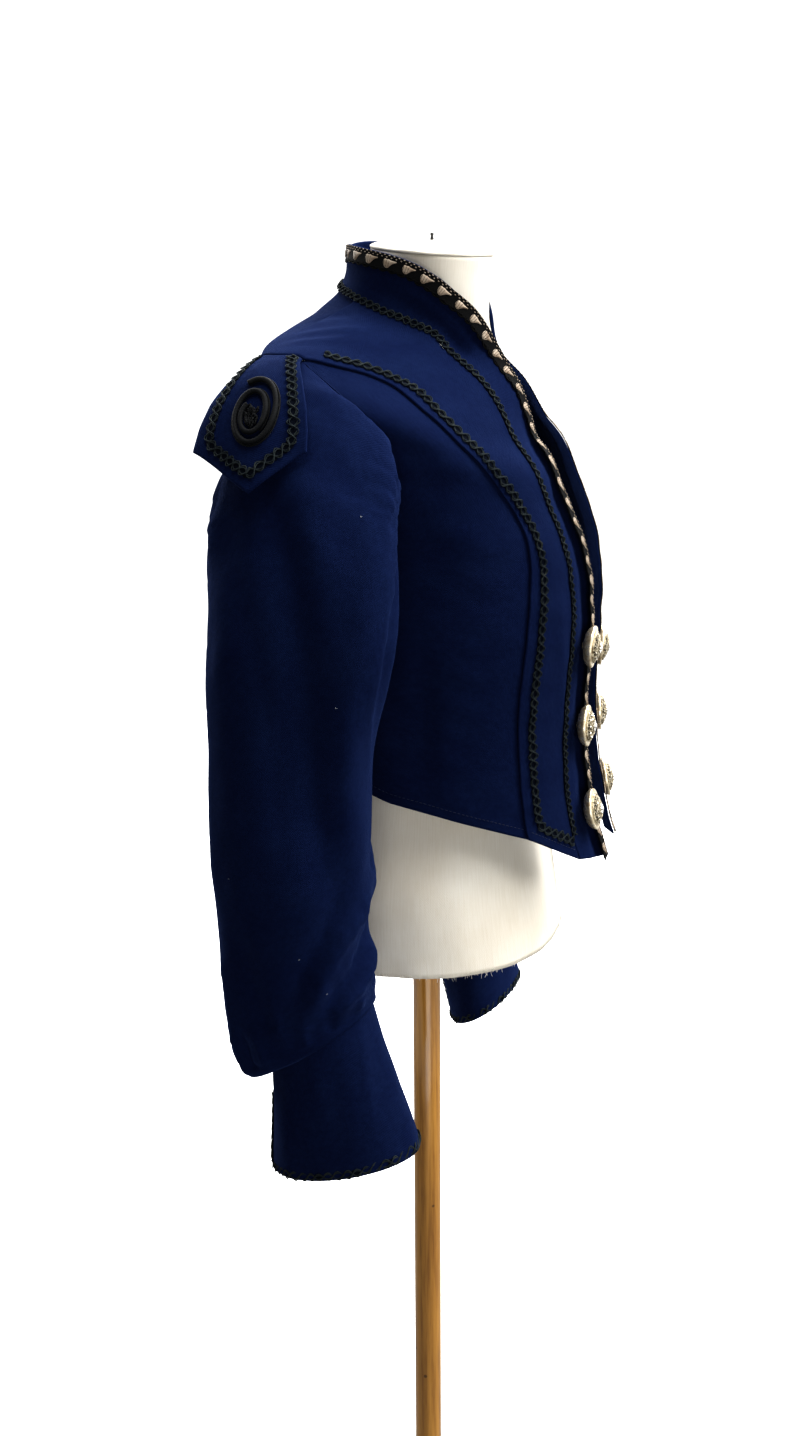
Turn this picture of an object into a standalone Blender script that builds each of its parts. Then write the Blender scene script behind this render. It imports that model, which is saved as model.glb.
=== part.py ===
# A short Edwardian jacket worn by a limbless dress form on a pole stand.
# Metres, +Z up, front towards -Y, the wearer's right towards -X.
# The origin is under the middle of the base, on the axis of the pole.

import math

import bmesh
import bpy
import numpy as np
from mathutils import Vector
from mathutils.bvhtree import BVHTree

# Driving sizes of the cloth
CLOTH = 0.0020
SEAM_GAP = 0.0003
LAP = CLOTH + SEAM_GAP
BRAID_WIDTH = 0.0100
BRAID_THICK = 0.0016
BRAID_INSET = 0.0110
RIBBON_WIDTH = 0.0140
RIBBON_THICK = 0.0012

# Driving sizes of the stand
POLE_RADIUS = 0.0125
BASE_RADIUS = 0.190
BASE_THICK = 0.010
HUB_RADIUS = 0.024
HUB_HEIGHT = 0.060
FORM_HEM = 0.827

# Level rings of the jacket's inner surface, from below the hem to the top of the collar.
# Depths are measured from centre_y along the ring's plane, which tilts down at the front.
# Columns: height, centre_y, tilt, half_width, front, back, round_front, round_back
JACKET_RINGS = np.array((
    (0.880, 0.000, 0.0, 0.147, 0.168, 0.106, 2.3, 2.3),
    (0.960, 0.000, 0.0, 0.140, 0.148, 0.094, 2.3, 2.3),
    (1.040, 0.000, 0.0, 0.140, 0.141, 0.088, 2.3, 2.3),
    (1.120, 0.002, 2.0, 0.147, 0.147, 0.094, 2.3, 2.3),
    (1.190, 0.009, 5.0, 0.153, 0.150, 0.097, 2.3, 2.3),
    (1.250, 0.022, 10.0, 0.162, 0.148, 0.089, 2.3, 2.4),
    (1.293, 0.042, 16.0, 0.172, 0.163, 0.073, 2.3, 2.6),
    (1.330, 0.064, 20.0, 0.174, 0.173, 0.052, 2.2, 2.8),
    (1.350, 0.036, 21.0, 0.116, 0.140, 0.054, 2.1, 2.3),
    (1.3615, 0.006, 22.0, 0.0745, 0.100, 0.0680, 2.2, 2.0),
    (1.382, 0.001, 18.0, 0.0660, 0.083, 0.0635, 2.4, 2.0),
    (1.4165, 0.000, 14.0, 0.0625, 0.0715, 0.0610, 2.4, 2.0),
))

# Level rings of the padded form, from its hem to the top of the neck, in the same columns
FORM_RINGS = np.array((
    (0.827, 0.000, 0.0, 0.143, 0.122, 0.112, 2.2, 2.2),
    (0.895, 0.000, 0.0, 0.140, 0.112, 0.108, 2.2, 2.2),
    (0.960, 0.000, 0.0, 0.122, 0.104, 0.088, 2.2, 2.2),
    (1.010, 0.000, 0.0, 0.108, 0.098, 0.078, 2.2, 2.2),
    (1.060, 0.000, 0.0, 0.118, 0.108, 0.080, 2.2, 2.2),
    (1.120, 0.002, 2.0, 0.137, 0.130, 0.089, 2.2, 2.2),
    (1.190, 0.009, 5.0, 0.144, 0.130, 0.0955, 2.2, 2.25),
    (1.250, 0.022, 10.0, 0.154, 0.130, 0.0885, 2.2, 2.35),
    (1.293, 0.042, 16.0, 0.162, 0.140, 0.0725, 2.2, 2.5),
    (1.326, 0.064, 20.0, 0.158, 0.146, 0.047, 2.1, 2.6),
    (1.343, 0.036, 21.0, 0.104, 0.112, 0.046, 2.0, 2.3),
    (1.352, 0.004, 16.0, 0.060, 0.070, 0.054, 2.0, 2.0),
    (1.372, -0.002, 8.0, 0.054, 0.054, 0.053, 2.0, 2.0),
    (1.419, -0.007, 4.0, 0.052, 0.052, 0.052, 2.0, 2.0),
))

# Lines on the jacket's front, from the hem up. The left front hangs further open at the chest.
# Columns: ring position, then the distance from the middle plane on the wearer's right and left
FRONT_EDGE = np.array((
    (0.40, 0.020, 0.020),
    (0.99, 0.025, 0.025),
    (1.60, 0.026, 0.027),
    (2.37, 0.025, 0.030),
    (3.28, 0.026, 0.034),
    (3.86, 0.030, 0.040),
    (4.80, 0.038, 0.052),
    (5.70, 0.0415, 0.061),
    (6.60, 0.0405, 0.065),
    (7.40, 0.0370, 0.064),
    (8.20, 0.0365, 0.058),
    (9.20, 0.0400, 0.053),
    (10.1, 0.0495, 0.054),
    (10.52, 0.0585, 0.058),
))
BAND_SEAM = np.array((
    (0.52, 0.070, 0.070),
    (0.96, 0.072, 0.072),
    (1.84, 0.071, 0.074),
    (2.74, 0.069, 0.076),
    (3.48, 0.070, 0.079),
    (4.24, 0.074, 0.084),
    (5.17, 0.080, 0.092),
    (6.20, 0.083, 0.099),
    (7.10, 0.082, 0.098),
    (7.80, 0.078, 0.091),
    (8.40, 0.076, 0.078),
    (8.90, 0.073, 0.073),
))
PRINCESS = np.array((
    (0.84, 0.109, 0.109),
    (1.40, 0.109, 0.109),
    (1.94, 0.110, 0.110),
    (2.71, 0.112, 0.112),
    (3.40, 0.111, 0.111),
    (4.07, 0.109, 0.109),
    (4.65, 0.112, 0.112),
    (5.44, 0.125, 0.125),
    (6.45, 0.139, 0.139),
    (7.12, 0.143, 0.143),
))

# How each of those lines goes on over the shoulder or round the neck.
# Columns: ring position, then the angle from the centre front on the right and left
EDGE_ROUND_NECK = np.array((
    (10.74, 77.0, 79.0),
    (10.97, 98.0, 99.0),
    (10.88, 142.0, 140.0),
    (10.68, 180.0, 180.0),
))
SEAM_ROUND_NECK = np.array((
    (9.25, 79.0, 82.0),
    (9.25, 101.0, 102.0),
    (9.15, 131.0, 131.0),
    (9.15, 180.0, 180.0),
))
PRINCESS_TO_TAB = np.array((
    (7.48, 68.0, 68.0),
    (7.54, 77.0, 77.0),
    (7.48, 86.0, 86.0),
    (7.36, 95.0, 95.0),
))

# The armhole, from its lowest point forward and up to the shoulder, then down the back.
# Columns of this table and the next two: ring position, angle from the centre front
ARMHOLE = np.array((
    (4.00, 107.0),
    (4.25, 92.0),
    (4.85, 83.0),
    (5.55, 78.0),
    (6.30, 75.5),
    (6.95, 80.0),
    (7.36, 95.0),
    (7.22, 112.0),
    (6.95, 131.0),
    (6.40, 134.0),
    (5.75, 132.0),
    (4.95, 128.0),
    (4.30, 120.0),
))
TAB_START = 6
TAB_END = 8

SIDE_SEAM = np.array((
    (1.42, 107.0),
    (2.40, 107.0),
    (3.30, 107.0),
    (4.00, 107.0),
))
CENTRE_BACK = np.array((
    (1.30, 180.0),
    (3.20, 180.0),
    (5.40, 180.0),
    (7.40, 180.0),
    (9.10, 180.0),
))

# Sleeve rings from the armhole down. Each is an oval through an outer and an inner point;
# fore is its half width forward and pitch tips its front up.
# Columns: outer_x, outer_z, inner_x, inner_z, y, fore, pitch
SLEEVE_RINGS = np.array((
    (0.187, 1.326, 0.168, 1.190, 0.0535, 0.0600, 0.0),
    (0.201, 1.314, 0.174, 1.183, 0.0540, 0.0650, 0.0),
    (0.216, 1.297, 0.179, 1.171, 0.0550, 0.0680, 0.0),
    (0.232, 1.273, 0.181, 1.156, 0.0555, 0.0700, 0.0),
    (0.249, 1.248, 0.182, 1.135, 0.0545, 0.071, 0.0),
    (0.270, 1.205, 0.181, 1.105, 0.0530, 0.072, 0.0),
    (0.287, 1.145, 0.180, 1.070, 0.0550, 0.069, 0.0),
    (0.294, 1.075, 0.179, 1.030, 0.0590, 0.063, 0.0),
    (0.297, 1.000, 0.180, 0.985, 0.0605, 0.063, 0.0),
    (0.2965, 0.940, 0.1810, 0.940, 0.0595, 0.0633, 9.0),
    (0.2940, 0.8925, 0.1820, 0.8925, 0.0600, 0.0603, 12.0),
    (0.2905, 0.852, 0.1845, 0.852, 0.0568, 0.0640, 18.2),
    (0.2880, 0.830, 0.1860, 0.830, 0.0538, 0.0673, 28.4),
    (0.2862, 0.816, 0.1880, 0.816, 0.0490, 0.0646, 34.9),
    (0.2832, 0.8168, 0.1908, 0.8168, 0.0386, 0.0520, 34.4),
))

# Gauntlet cuff rings from the wrist seam to the hem.
# Columns: y, z, half width across, half width forward, pitch
CUFF_RINGS = {
    "right": np.array((
        (0.0399, 0.8190, 0.0435, 0.0495, 35.9),
        (0.0340, 0.7860, 0.0440, 0.0515, 28.0),
        (0.0270, 0.7460, 0.0450, 0.0575, 19.0),
        (0.0200, 0.7095, 0.0460, 0.0625, 11.6),
    )),
    "left": np.array((
        (0.0399, 0.8190, 0.0435, 0.0495, 35.9),
        (0.0340, 0.7860, 0.0490, 0.0440, 33.0),
        (0.0270, 0.7460, 0.0560, 0.0405, 31.0),
        (0.0200, 0.7095, 0.0610, 0.0385, 29.0),
    )),
}
CUFF_OUT = 0.237

# The left sleeve hangs lower and further forward than the right, by these amounts from this row down
SLEEVE_LOWERED = 11
SLEEVE_REACH = {"right": 0.000, "left": 0.062}
SLEEVE_SWING = {"right": 0.000, "left": 0.036}

# Shoulder tab. Columns: distance from the shoulder edge, slope below level, width there
TAB_ROWS = np.array((
    (0.000, 10.0, 0.060),
    (0.020, 24.0, 0.074),
    (0.040, 38.0, 0.090),
    (0.060, 48.0, 0.104),
    (0.080, 56.0, 0.113),
    (0.098, 60.0, 0.117),
    (0.134, 62.0, 0.117),
))
TAB_SHARES = np.array((0.0, 0.09, 0.19, 0.35, 0.5, 0.65, 0.81, 0.91, 1.0))
TAB_SIDE = 0.098
TAB_LENGTH = 0.134
TAB_PIVOT = 0.43
TAB_TURN = 0.012
TAB_TIP_FORWARD = 0.007
TAB_STEPS = 8

# Buttons: height on the front band and distance from the middle plane, top to bottom
BUTTON_HEIGHTS = {"right": (1.100, 1.030, 0.954), "left": (1.076, 1.014, 0.950)}
BUTTON_OUT = {"right": 0.048, "left": 0.055}
BUTTON_RADIUS = 0.018
BUTTON_SHANK = 0.0035
BUTTON_LIFT = SEAM_GAP + 0.0001

SIDES = {"right": 1.0, "left": -1.0}


def clear_scene():
    """Remove what the file holds, so that the part starts from nothing."""
    for item in list(bpy.data.objects):
        bpy.data.objects.remove(item, do_unlink=True)


def make_material(name, colour, roughness, metallic=0.0):
    material = bpy.data.materials.new(name)
    material.use_nodes = True
    shader = material.node_tree.nodes["Principled BSDF"]
    shader.inputs["Base Color"].default_value = (*colour, 1.0)
    shader.inputs["Roughness"].default_value = roughness
    shader.inputs["Metallic"].default_value = metallic
    material.diffuse_color = (*colour, 1.0)
    return material


def smooth_rows(table, position):
    """Rows of a table read at fractional positions, on a smooth curve through them."""
    last = len(table) - 1
    position = np.clip(np.asarray(position, float), 0.0, last - 1e-9)
    whole = np.floor(position).astype(int)
    part = (position - whole)[..., None]
    before, start, end, after = (table[np.clip(whole + step, 0, last)] for step in (-1, 0, 1, 2))
    return 0.5 * (
        2.0 * start
        + (end - before) * part
        + (2.0 * before - 5.0 * start + 4.0 * end - after) * part ** 2
        + (3.0 * start - before - 3.0 * end + after) * part ** 3
    )


def ring_point(rings, ring, angle):
    """A point on a ring table's surface; the angle runs from the centre front to the wearer's right."""
    row = smooth_rows(rings, ring)
    height, centre_y, tilt, half_width, front, back, round_front, round_back = np.moveaxis(row, -1, 0)
    turn = np.radians(np.asarray(angle, float))
    sine = np.sin(turn)
    cosine = np.cos(turn)
    power = 2.0 / np.where(cosine > 0.0, round_front, round_back)
    depth = np.where(cosine > 0.0, front, back)
    x = -half_width * np.sign(sine) * np.abs(sine) ** power
    along = -depth * np.sign(cosine) * np.abs(cosine) ** power
    lean = np.radians(tilt)
    return np.stack((x, centre_y + along * np.cos(lean), height + along * np.sin(lean)), -1)


def unit(vectors):
    return vectors / np.maximum(np.linalg.norm(vectors, axis=-1, keepdims=True), 1e-12)


def ring_normal(rings, ring, angle):
    """The outward direction of a ring table's surface at the same place as ring_point."""
    step_ring = 0.02
    step_angle = 0.5
    up = ring_point(rings, ring + step_ring, angle) - ring_point(rings, ring - step_ring, angle)
    ahead = ring_point(rings, ring, angle + step_angle) - ring_point(rings, ring, angle - step_angle)
    return unit(np.cross(up, ahead))


def grid_normal(points, closed):
    """Directions square to a grid of points, rows downward and columns round."""
    along = np.gradient(points, axis=0)
    if closed:
        across = np.roll(points, -1, axis=1) - np.roll(points, 1, axis=1)
    else:
        across = np.gradient(points, axis=1)
    return unit(np.cross(across, along))


def shell_mesh(name, outer, inner, material, closed=False, cells=None, turned=False):
    """A closed wall between two grids of points. Cells picks the grid's squares that it covers.

    Turned splits the rim's squares the other way, to match the piece on the far side of a seam.
    """
    rows, columns = outer.shape[:2]
    square_columns = columns if closed else columns - 1
    if cells is None:
        cells = [(row, column) for row in range(rows - 1) for column in range(square_columns)]
    mesh = bmesh.new()
    verts = {}

    def vert(layer, row, column):
        key = (layer, row, column % columns)
        if key not in verts:
            source = outer if layer == 0 else inner
            verts[key] = mesh.verts.new(source[row, column % columns])
        return verts[key]

    edges = {}
    for row, column in cells:
        ring = ((row, column), (row, column + 1), (row + 1, column + 1), (row + 1, column))
        for layer in (0, 1):
            first, second, third, fourth = (vert(layer, *corner) for corner in ring)
            mesh.faces.new((first, second, third))
            mesh.faces.new((first, third, fourth))
        for start, end in zip(ring, ring[1:] + ring[:1]):
            start = (start[0], start[1] % columns)
            end = (end[0], end[1] % columns)
            if (end, start) in edges:
                del edges[(end, start)]
            else:
                edges[(start, end)] = True
    for start, end in edges:
        outer_start, outer_end = vert(0, *start), vert(0, *end)
        inner_start, inner_end = vert(1, *start), vert(1, *end)
        if turned:
            mesh.faces.new((outer_end, outer_start, inner_end))
            mesh.faces.new((outer_start, inner_start, inner_end))
        else:
            mesh.faces.new((outer_end, outer_start, inner_start))
            mesh.faces.new((outer_end, inner_start, inner_end))
    bmesh.ops.recalc_face_normals(mesh, faces=mesh.faces)
    return finish_mesh(name, mesh, material)


def finish_mesh(name, mesh, material):
    data = bpy.data.meshes.new(name)
    mesh.to_mesh(data)
    mesh.free()
    data.materials.append(material)
    data.polygons.foreach_set("use_smooth", [True] * len(data.polygons))
    part = bpy.data.objects.new(name, data)
    bpy.context.scene.collection.objects.link(part)
    return part


def mirror_side(points, side):
    """Points of the wearer's right, moved to the side asked for."""
    return points * np.array((SIDES[side], 1.0, 1.0))


def out_angle(ring, out):
    """The angle at which a ring's front half stands a given distance from the middle plane."""
    row = smooth_rows(JACKET_RINGS, ring)
    share = np.clip(out / row[..., 3], 0.0, 1.0)
    return np.degrees(np.arcsin(share ** (row[..., 6] / 2.0)))


def front_line(table, end_rows, side):
    """A line's ring and angle on one side: the part down the front, then the part that goes on."""
    column = 1 if side == "right" else 2
    down = smooth_rows(table[:, (0, column)], np.linspace(0.0, len(table) - 1.0, 80))
    down[:, 1] = out_angle(down[:, 0], down[:, 1])
    rest = np.concatenate((down[-1:], end_rows[:, (0, column)]))
    return down, smooth_rows(rest, np.linspace(0.0, len(rest) - 1.0, 40))


def line_points(line, count):
    """Ring and angle at evenly spaced places along a line's table."""
    return smooth_rows(line, np.linspace(0.0, len(line) - 1.0, count))


def spaced(line, shares):
    """Ring and angle at the given shares of the cloth length along a line's table."""
    fine = line_points(line, 400)
    places = ring_point(JACKET_RINGS, fine[:, 0], fine[:, 1])
    length = np.concatenate(((0.0,), np.cumsum(np.linalg.norm(np.diff(places, axis=0), axis=1))))
    wanted = np.asarray(shares) * length[-1]
    return np.stack([np.interp(wanted, length, fine[:, axis]) for axis in (0, 1)], -1)


def even_line(line, rows):
    return spaced(line, np.linspace(0.0, 1.0, rows + 1))


def armhole_line(start, end):
    """Part of the armhole, between two rows of its table that may run past the last row."""
    wrapped = np.concatenate((ARMHOLE, ARMHOLE, ARMHOLE))
    rows = len(ARMHOLE)
    return smooth_rows(wrapped, np.linspace(start + rows, end + rows, 120))


def strip(first, second, fractions):
    """Ring and angle over a strip of cloth between two lines, at the fractions of its width."""
    fractions = np.asarray(fractions, float)
    if fractions.ndim == 1:
        fractions = np.tile(fractions, (len(first), 1))
    return first[:, None, :] + (second - first)[:, None, :] * fractions[:, :, None]


class Panel:
    """One cut piece of the jacket as a grid of points and directions on the jacket's surface."""

    def __init__(self, places, low, insets=(0.0, 0.0, 0.0, 0.0)):
        self.points = ring_point(JACKET_RINGS, places[..., 0], places[..., 1])
        self.normals = ring_normal(JACKET_RINGS, places[..., 0], places[..., 1])
        self.low = low
        self.trim_edges(insets)

    def trim_edges(self, insets):
        """Move the four edges into the piece, in the order first column, last column, first row, last row."""
        points = self.points.copy()
        edges = (
            ((slice(None), 0), (slice(None), 1)), ((slice(None), -1), (slice(None), -2)),
            ((0, slice(None)), (1, slice(None))), ((-1, slice(None)), (-2, slice(None))),
        )
        for (edge, beside), inset in zip(edges, insets):
            along = np.gradient(self.points[edge], axis=0)
            inward = unit(np.cross(self.normals[edge], along))
            toward = np.sum(inward * (self.points[beside] - self.points[edge]), axis=-1)
            points[edge] += inward * np.sign(toward)[:, None] * inset
        self.points = points

    def layer(self, height, side):
        return mirror_side(self.points + self.normals * height, side)

    def build(self, name, side, material, turned=False):
        inner = self.layer(self.low, side)
        outer = self.layer(self.low + CLOTH, side)
        return shell_mesh(name, outer, inner, material, turned=turned)

    def trim(self, name, side, material, thick, cells, shift=0.0):
        """A trim that lies on some of the panel's squares, one seam gap above the cloth."""
        start = self.low + CLOTH + SEAM_GAP + shift
        inner = self.layer(start, side)
        outer = self.layer(start + thick, side)
        return shell_mesh(name, outer, inner, material, cells=cells)


def width_fractions(first, second, from_first, from_second, middle):
    """Fractions of each row's width: fixed cloth distances at both edges and even steps between."""
    start = ring_point(JACKET_RINGS, first[:, 0], first[:, 1])
    end = ring_point(JACKET_RINGS, second[:, 0], second[:, 1])
    width = np.linalg.norm(end - start, axis=1)[:, None]
    near = np.array(from_first)[None, :] / width
    far = 1.0 - np.array(from_second)[None, :] / width
    steps = np.linspace(0.0, 1.0, middle + 2)[None, 1:-1]
    between = near[:, -1:] + (far[:, :1] - near[:, -1:]) * steps
    return np.concatenate((near, between, far), axis=1)


def hem_spaced(line, count, first_steps):
    """Places along a line with fixed cloth distances from the hem, then even steps to the top."""
    fine = line_points(line, 600)
    places = ring_point(JACKET_RINGS, fine[:, 0], fine[:, 1])
    length = np.concatenate(((0.0,), np.cumsum(np.linalg.norm(np.diff(places, axis=0), axis=1))))
    steps = np.linspace(first_steps[-1], length[-1], count + 1)[1:]
    wanted = np.concatenate((first_steps, steps))
    return np.stack([np.interp(wanted, length, fine[:, axis]) for axis in (0, 1)], -1)


HEM_STEPS = (0.0, 0.008, 0.018)
FRONT_ROWS = 18
SIDE_SEAM_ROWS = 10
ARMHOLE_FRONT_ROWS = 10
ARMHOLE_BACK_ROWS = 10
NECK_ROWS = 6
SEAM_TURN = 14
TUCK_END = 0.7


def front_places(side):
    """The front with its shoulder, between the band seam and the curved princess line."""
    down_seam, round_neck = front_line(BAND_SEAM, SEAM_ROUND_NECK[:-1], side)
    down_princess, to_corner = front_line(PRINCESS, PRINCESS_TO_TAB, side)
    low_seam = np.concatenate((down_seam, round_neck[1:SEAM_TURN]))
    low_outer = np.concatenate((down_princess, to_corner[1:]))
    seam = np.concatenate((
        hem_spaced(low_seam, FRONT_ROWS, HEM_STEPS),
        spaced(round_neck[SEAM_TURN - 1:], TAB_SHARES)[1:],
    ))
    outer = np.concatenate((
        hem_spaced(low_outer, FRONT_ROWS, HEM_STEPS),
        spaced(armhole_line(TAB_START, TAB_END), TAB_SHARES)[1:],
    ))
    far_edges = (BRAID_INSET + BRAID_WIDTH, BRAID_INSET, 0.0)
    across = width_fractions(seam, outer, (0.0,), far_edges, 3)
    return strip(seam, outer, across)


def collar_band(side, front):
    """The strip that stands round the neck and runs down the front edge, from hem to centre back."""
    edge_line = np.concatenate(front_line(FRONT_EDGE, EDGE_ROUND_NECK, side))
    seam = np.concatenate((front[:, 0], even_line(SEAM_ROUND_NECK[-2:, :2], NECK_ROWS)[1:]))
    points = ring_point(JACKET_RINGS, seam[:, 0], seam[:, 1])
    length = np.concatenate(((0.0,), np.cumsum(np.linalg.norm(np.diff(points, axis=0), axis=1))))
    edge = spaced(edge_line, length / length[-1])
    across = width_fractions(edge, seam, (0.0, RIBBON_WIDTH), (BRAID_WIDTH, 0.0), 0)
    return Panel(strip(edge, seam, across), LAP, (0.0, SEAM_GAP / 2, 0.0, SEAM_GAP / 2))


def side_front_panel(front):
    """The side of the front, tucked under the princess edge and cut out for the armhole."""
    rows = SIDE_SEAM_ROWS + ARMHOLE_FRONT_ROWS + 1
    tucked = front[:rows, -2]
    princess = front[:rows, -1]
    outer = np.concatenate((
        even_line(SIDE_SEAM, SIDE_SEAM_ROWS),
        even_line(armhole_line(0, TAB_START), ARMHOLE_FRONT_ROWS)[1:],
    ))
    shares = np.linspace(0.0, 1.0, 6)
    places = np.concatenate((tucked[:, None], strip(princess, outer, shares)), axis=1)
    panel = Panel(places, 0.0)
    across = np.linspace(0.0, TUCK_END, len(shares) + 1)[:, None]
    for grid in (panel.points, panel.normals):
        grid[-1] = grid[-1, 0] + (grid[-1, 1] - grid[-1, 0]) * across
    panel.trim_edges((0.0, SEAM_GAP / 2, 0.0, 0.0))
    return panel


def back_panel(front):
    """The back, from the side seam and armhole to the centre back, with the front's shoulder edge."""
    first = np.concatenate((
        even_line(SIDE_SEAM, SIDE_SEAM_ROWS),
        even_line(armhole_line(len(ARMHOLE), TAB_END), ARMHOLE_BACK_ROWS)[1:],
        front[-1, -2::-1],
    ))
    second = even_line(CENTRE_BACK, len(first) - 1)
    return Panel(strip(first, second, np.linspace(0.0, 1.0, 7)), 0.0, (SEAM_GAP / 2, SEAM_GAP / 2, 0.0, 0.0))


def oval(centre, outward, across, forward, fore, phases):
    """Points round an oval. Phase 0 is its outer side, 90 degrees its front."""
    return centre + np.outer(np.cos(phases), outward * across) + np.outer(np.sin(phases), forward * fore)


def forward_way(pitch):
    dip = math.radians(pitch)
    return np.array((0.0, -math.cos(dip), math.sin(dip)))


def sleeve_ring(row, phases):
    outer_x, outer_z, inner_x, inner_z, y, fore, pitch = row
    outer_point = np.array((-outer_x, y, outer_z))
    inner_point = np.array((-inner_x, y, inner_z))
    across = np.linalg.norm(outer_point - inner_point) / 2.0
    outward = unit(outer_point - inner_point)
    return oval((outer_point + inner_point) / 2.0, outward, across, forward_way(pitch), fore, phases)


SLEEVE_AROUND = ARMHOLE_FRONT_ROWS + len(TAB_SHARES) - 1 + ARMHOLE_BACK_ROWS

# Pleats and folds of the sleeve: where each starts and ends round the sleeve and down its
# length (0 at the armhole, 1 at the wrist), its half width in degrees and its rise.
# Columns: start_phase, start_share, end_phase, end_share, half_width, rise
SLEEVE_FOLDS = np.array((
    (34.0, 0.06, 30.0, 0.40, 11.0, 0.0060),
    (58.0, 0.06, 52.0, 0.36, 11.0, 0.0060),
    (82.0, 0.06, 76.0, 0.30, 11.0, 0.0050),
    (-34.0, 0.30, -34.0, 0.46, 12.0, 0.0040),
    (-80.0, 0.14, -76.0, 0.40, 12.0, 0.0050),
    (-60.0, 0.26, 16.0, 0.80, 22.0, -0.0120),
    (-14.0, 0.32, 52.0, 0.74, 17.0, 0.0060),
    (66.0, 0.74, -14.0, 0.93, 14.0, 0.0060),
    (80.0, 0.80, 14.0, 0.94, 12.0, -0.0050),
    (140.0, 0.40, 190.0, 0.75, 20.0, -0.0060),
    (-80.0, 0.82, -130.0, 0.94, 14.0, -0.0050),
    (-50.0, 0.84, -50.0, 0.94, 10.0, 0.0040),
))


def fold_rise(phases, share):
    """How far the sleeve's folds stand out at one place down its length, round the sleeve."""
    rise = np.zeros(len(phases))
    degrees = np.degrees(phases)
    for start_phase, start_share, end_phase, end_share, half_width, height in SLEEVE_FOLDS:
        along = (share - start_share) / (end_share - start_share)
        middle = start_phase + (end_phase - start_phase) * along
        away = (degrees - middle + 180.0) % 360.0 - 180.0
        reach = math.exp(-((2.0 * along - 1.0) ** 4) * 1.4)
        rise += height * reach * np.exp(-((away / half_width) ** 2))
    return rise


def sleeve_points(side):
    """The sleeve's outer points, from the armhole down to the wrist seam."""
    places = np.concatenate((
        even_line(armhole_line(0, TAB_START), ARMHOLE_FRONT_ROWS),
        spaced(armhole_line(TAB_START, TAB_END), TAB_SHARES)[1:],
        even_line(armhole_line(TAB_END, len(ARMHOLE)), ARMHOLE_BACK_ROWS)[1:-1],
    ))
    edge = ring_point(JACKET_RINGS, places[:, 0], places[:, 1])
    normals = ring_normal(JACKET_RINGS, places[:, 0], places[:, 1])
    middle = edge.mean(axis=0)
    first = edge + unit(middle - edge) * SEAM_GAP
    tab_first = ARMHOLE_FRONT_ROWS
    tab_last = ARMHOLE_FRONT_ROWS + len(TAB_SHARES) - 1
    ways = normals.copy()
    ways[tab_first + 1:tab_last] = (-1.0, 0.0, 0.0)
    ways[(tab_first, tab_last), :] = unit(normals[(tab_first, tab_last), :] + (-1.0, 0.0, 0.0))
    second = first + ways * LAP
    start_phases = np.unwrap(np.arctan2(-(edge[:, 1] - middle[1]), edge[:, 2] - middle[2]))
    start_phases += 2.0 * math.pi * round((math.pi - start_phases[0]) / (2.0 * math.pi))
    even_phases = math.pi - 2.0 * math.pi * np.arange(SLEEVE_AROUND) / SLEEVE_AROUND
    rows = [first, second, second * 0.5 + sleeve_ring(SLEEVE_RINGS[0], start_phases) * 0.5]
    for index, row in enumerate(SLEEVE_RINGS):
        share = index / (len(SLEEVE_RINGS) - 1.0)
        even = min(1.0, 2.0 * share)
        phases = start_phases * (1.0 - even) + even_phases * even
        lowered = min(1.0, index / SLEEVE_LOWERED)
        shift = np.array((0.0, -SLEEVE_SWING[side] * lowered, -SLEEVE_REACH[side] * lowered))
        ring = sleeve_ring(row, phases)
        out = unit(ring - ring.mean(axis=0))
        fade = min(1.0, 6.0 * share) * min(1.0, max(0.0, 7.0 * (0.97 - share)))
        rows.append(ring + out * fold_rise(phases, share)[:, None] * fade + shift)
    return np.array(rows)


def build_sleeve(side, material):
    outer = sleeve_points(side)
    normals = grid_normal(outer, True)
    middle = outer.mean(axis=1, keepdims=True)
    flip = np.sign(np.sum(normals * (outer - middle), axis=-1, keepdims=True).mean())
    normals = normals * flip
    inner = outer - normals * CLOTH
    shell_mesh("sleeve_" + side, mirror_side(outer, side), mirror_side(inner, side), material, closed=True)


CUFF_SLIT = 4.0


def cuff_points(side):
    """The gauntlet's outer points, open down the back of the wrist."""
    degrees = -90.0 + 360.0 * np.arange(SLEEVE_AROUND + 1) / SLEEVE_AROUND
    degrees[0] += CUFF_SLIT / 2.0
    degrees[-1] -= CUFF_SLIT / 2.0
    phases = np.radians(degrees)
    rows = []
    for place in (0.0, 0.9, 1.8, 2.72, 3.0):
        y, z, across, fore, pitch = smooth_rows(CUFF_RINGS[side], place)
        centre = np.array((-CUFF_OUT, y - SLEEVE_SWING[side], z - SLEEVE_REACH[side]))
        outward = np.array((-1.0, 0.0, 0.0))
        rows.append(oval(centre, outward, across, forward_way(pitch), fore, phases))
    return np.array(rows)


def build_cuff(side, cloth, braid):
    outer = cuff_points(side)
    normals = grid_normal(outer, False)
    middle = outer.mean(axis=1, keepdims=True)
    flip = np.sign(np.sum(normals * (outer - middle), axis=-1, keepdims=True).mean())
    normals = normals * flip
    inner = outer - normals * CLOTH
    shell_mesh("cuff_" + side, mirror_side(outer, side), mirror_side(inner, side), cloth)
    low = outer + normals * SEAM_GAP
    high = outer + normals * (SEAM_GAP + BRAID_THICK)
    rows = outer.shape[0]
    columns = outer.shape[1]
    cells = [(rows - 2, column) for column in range(columns - 1)]
    cells += [(row, column) for row in range(1, rows - 2) for column in (0, columns - 2)]
    shell_mesh("cuff_braid_" + side, mirror_side(high, side), mirror_side(low, side), braid, cells=cells)


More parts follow.
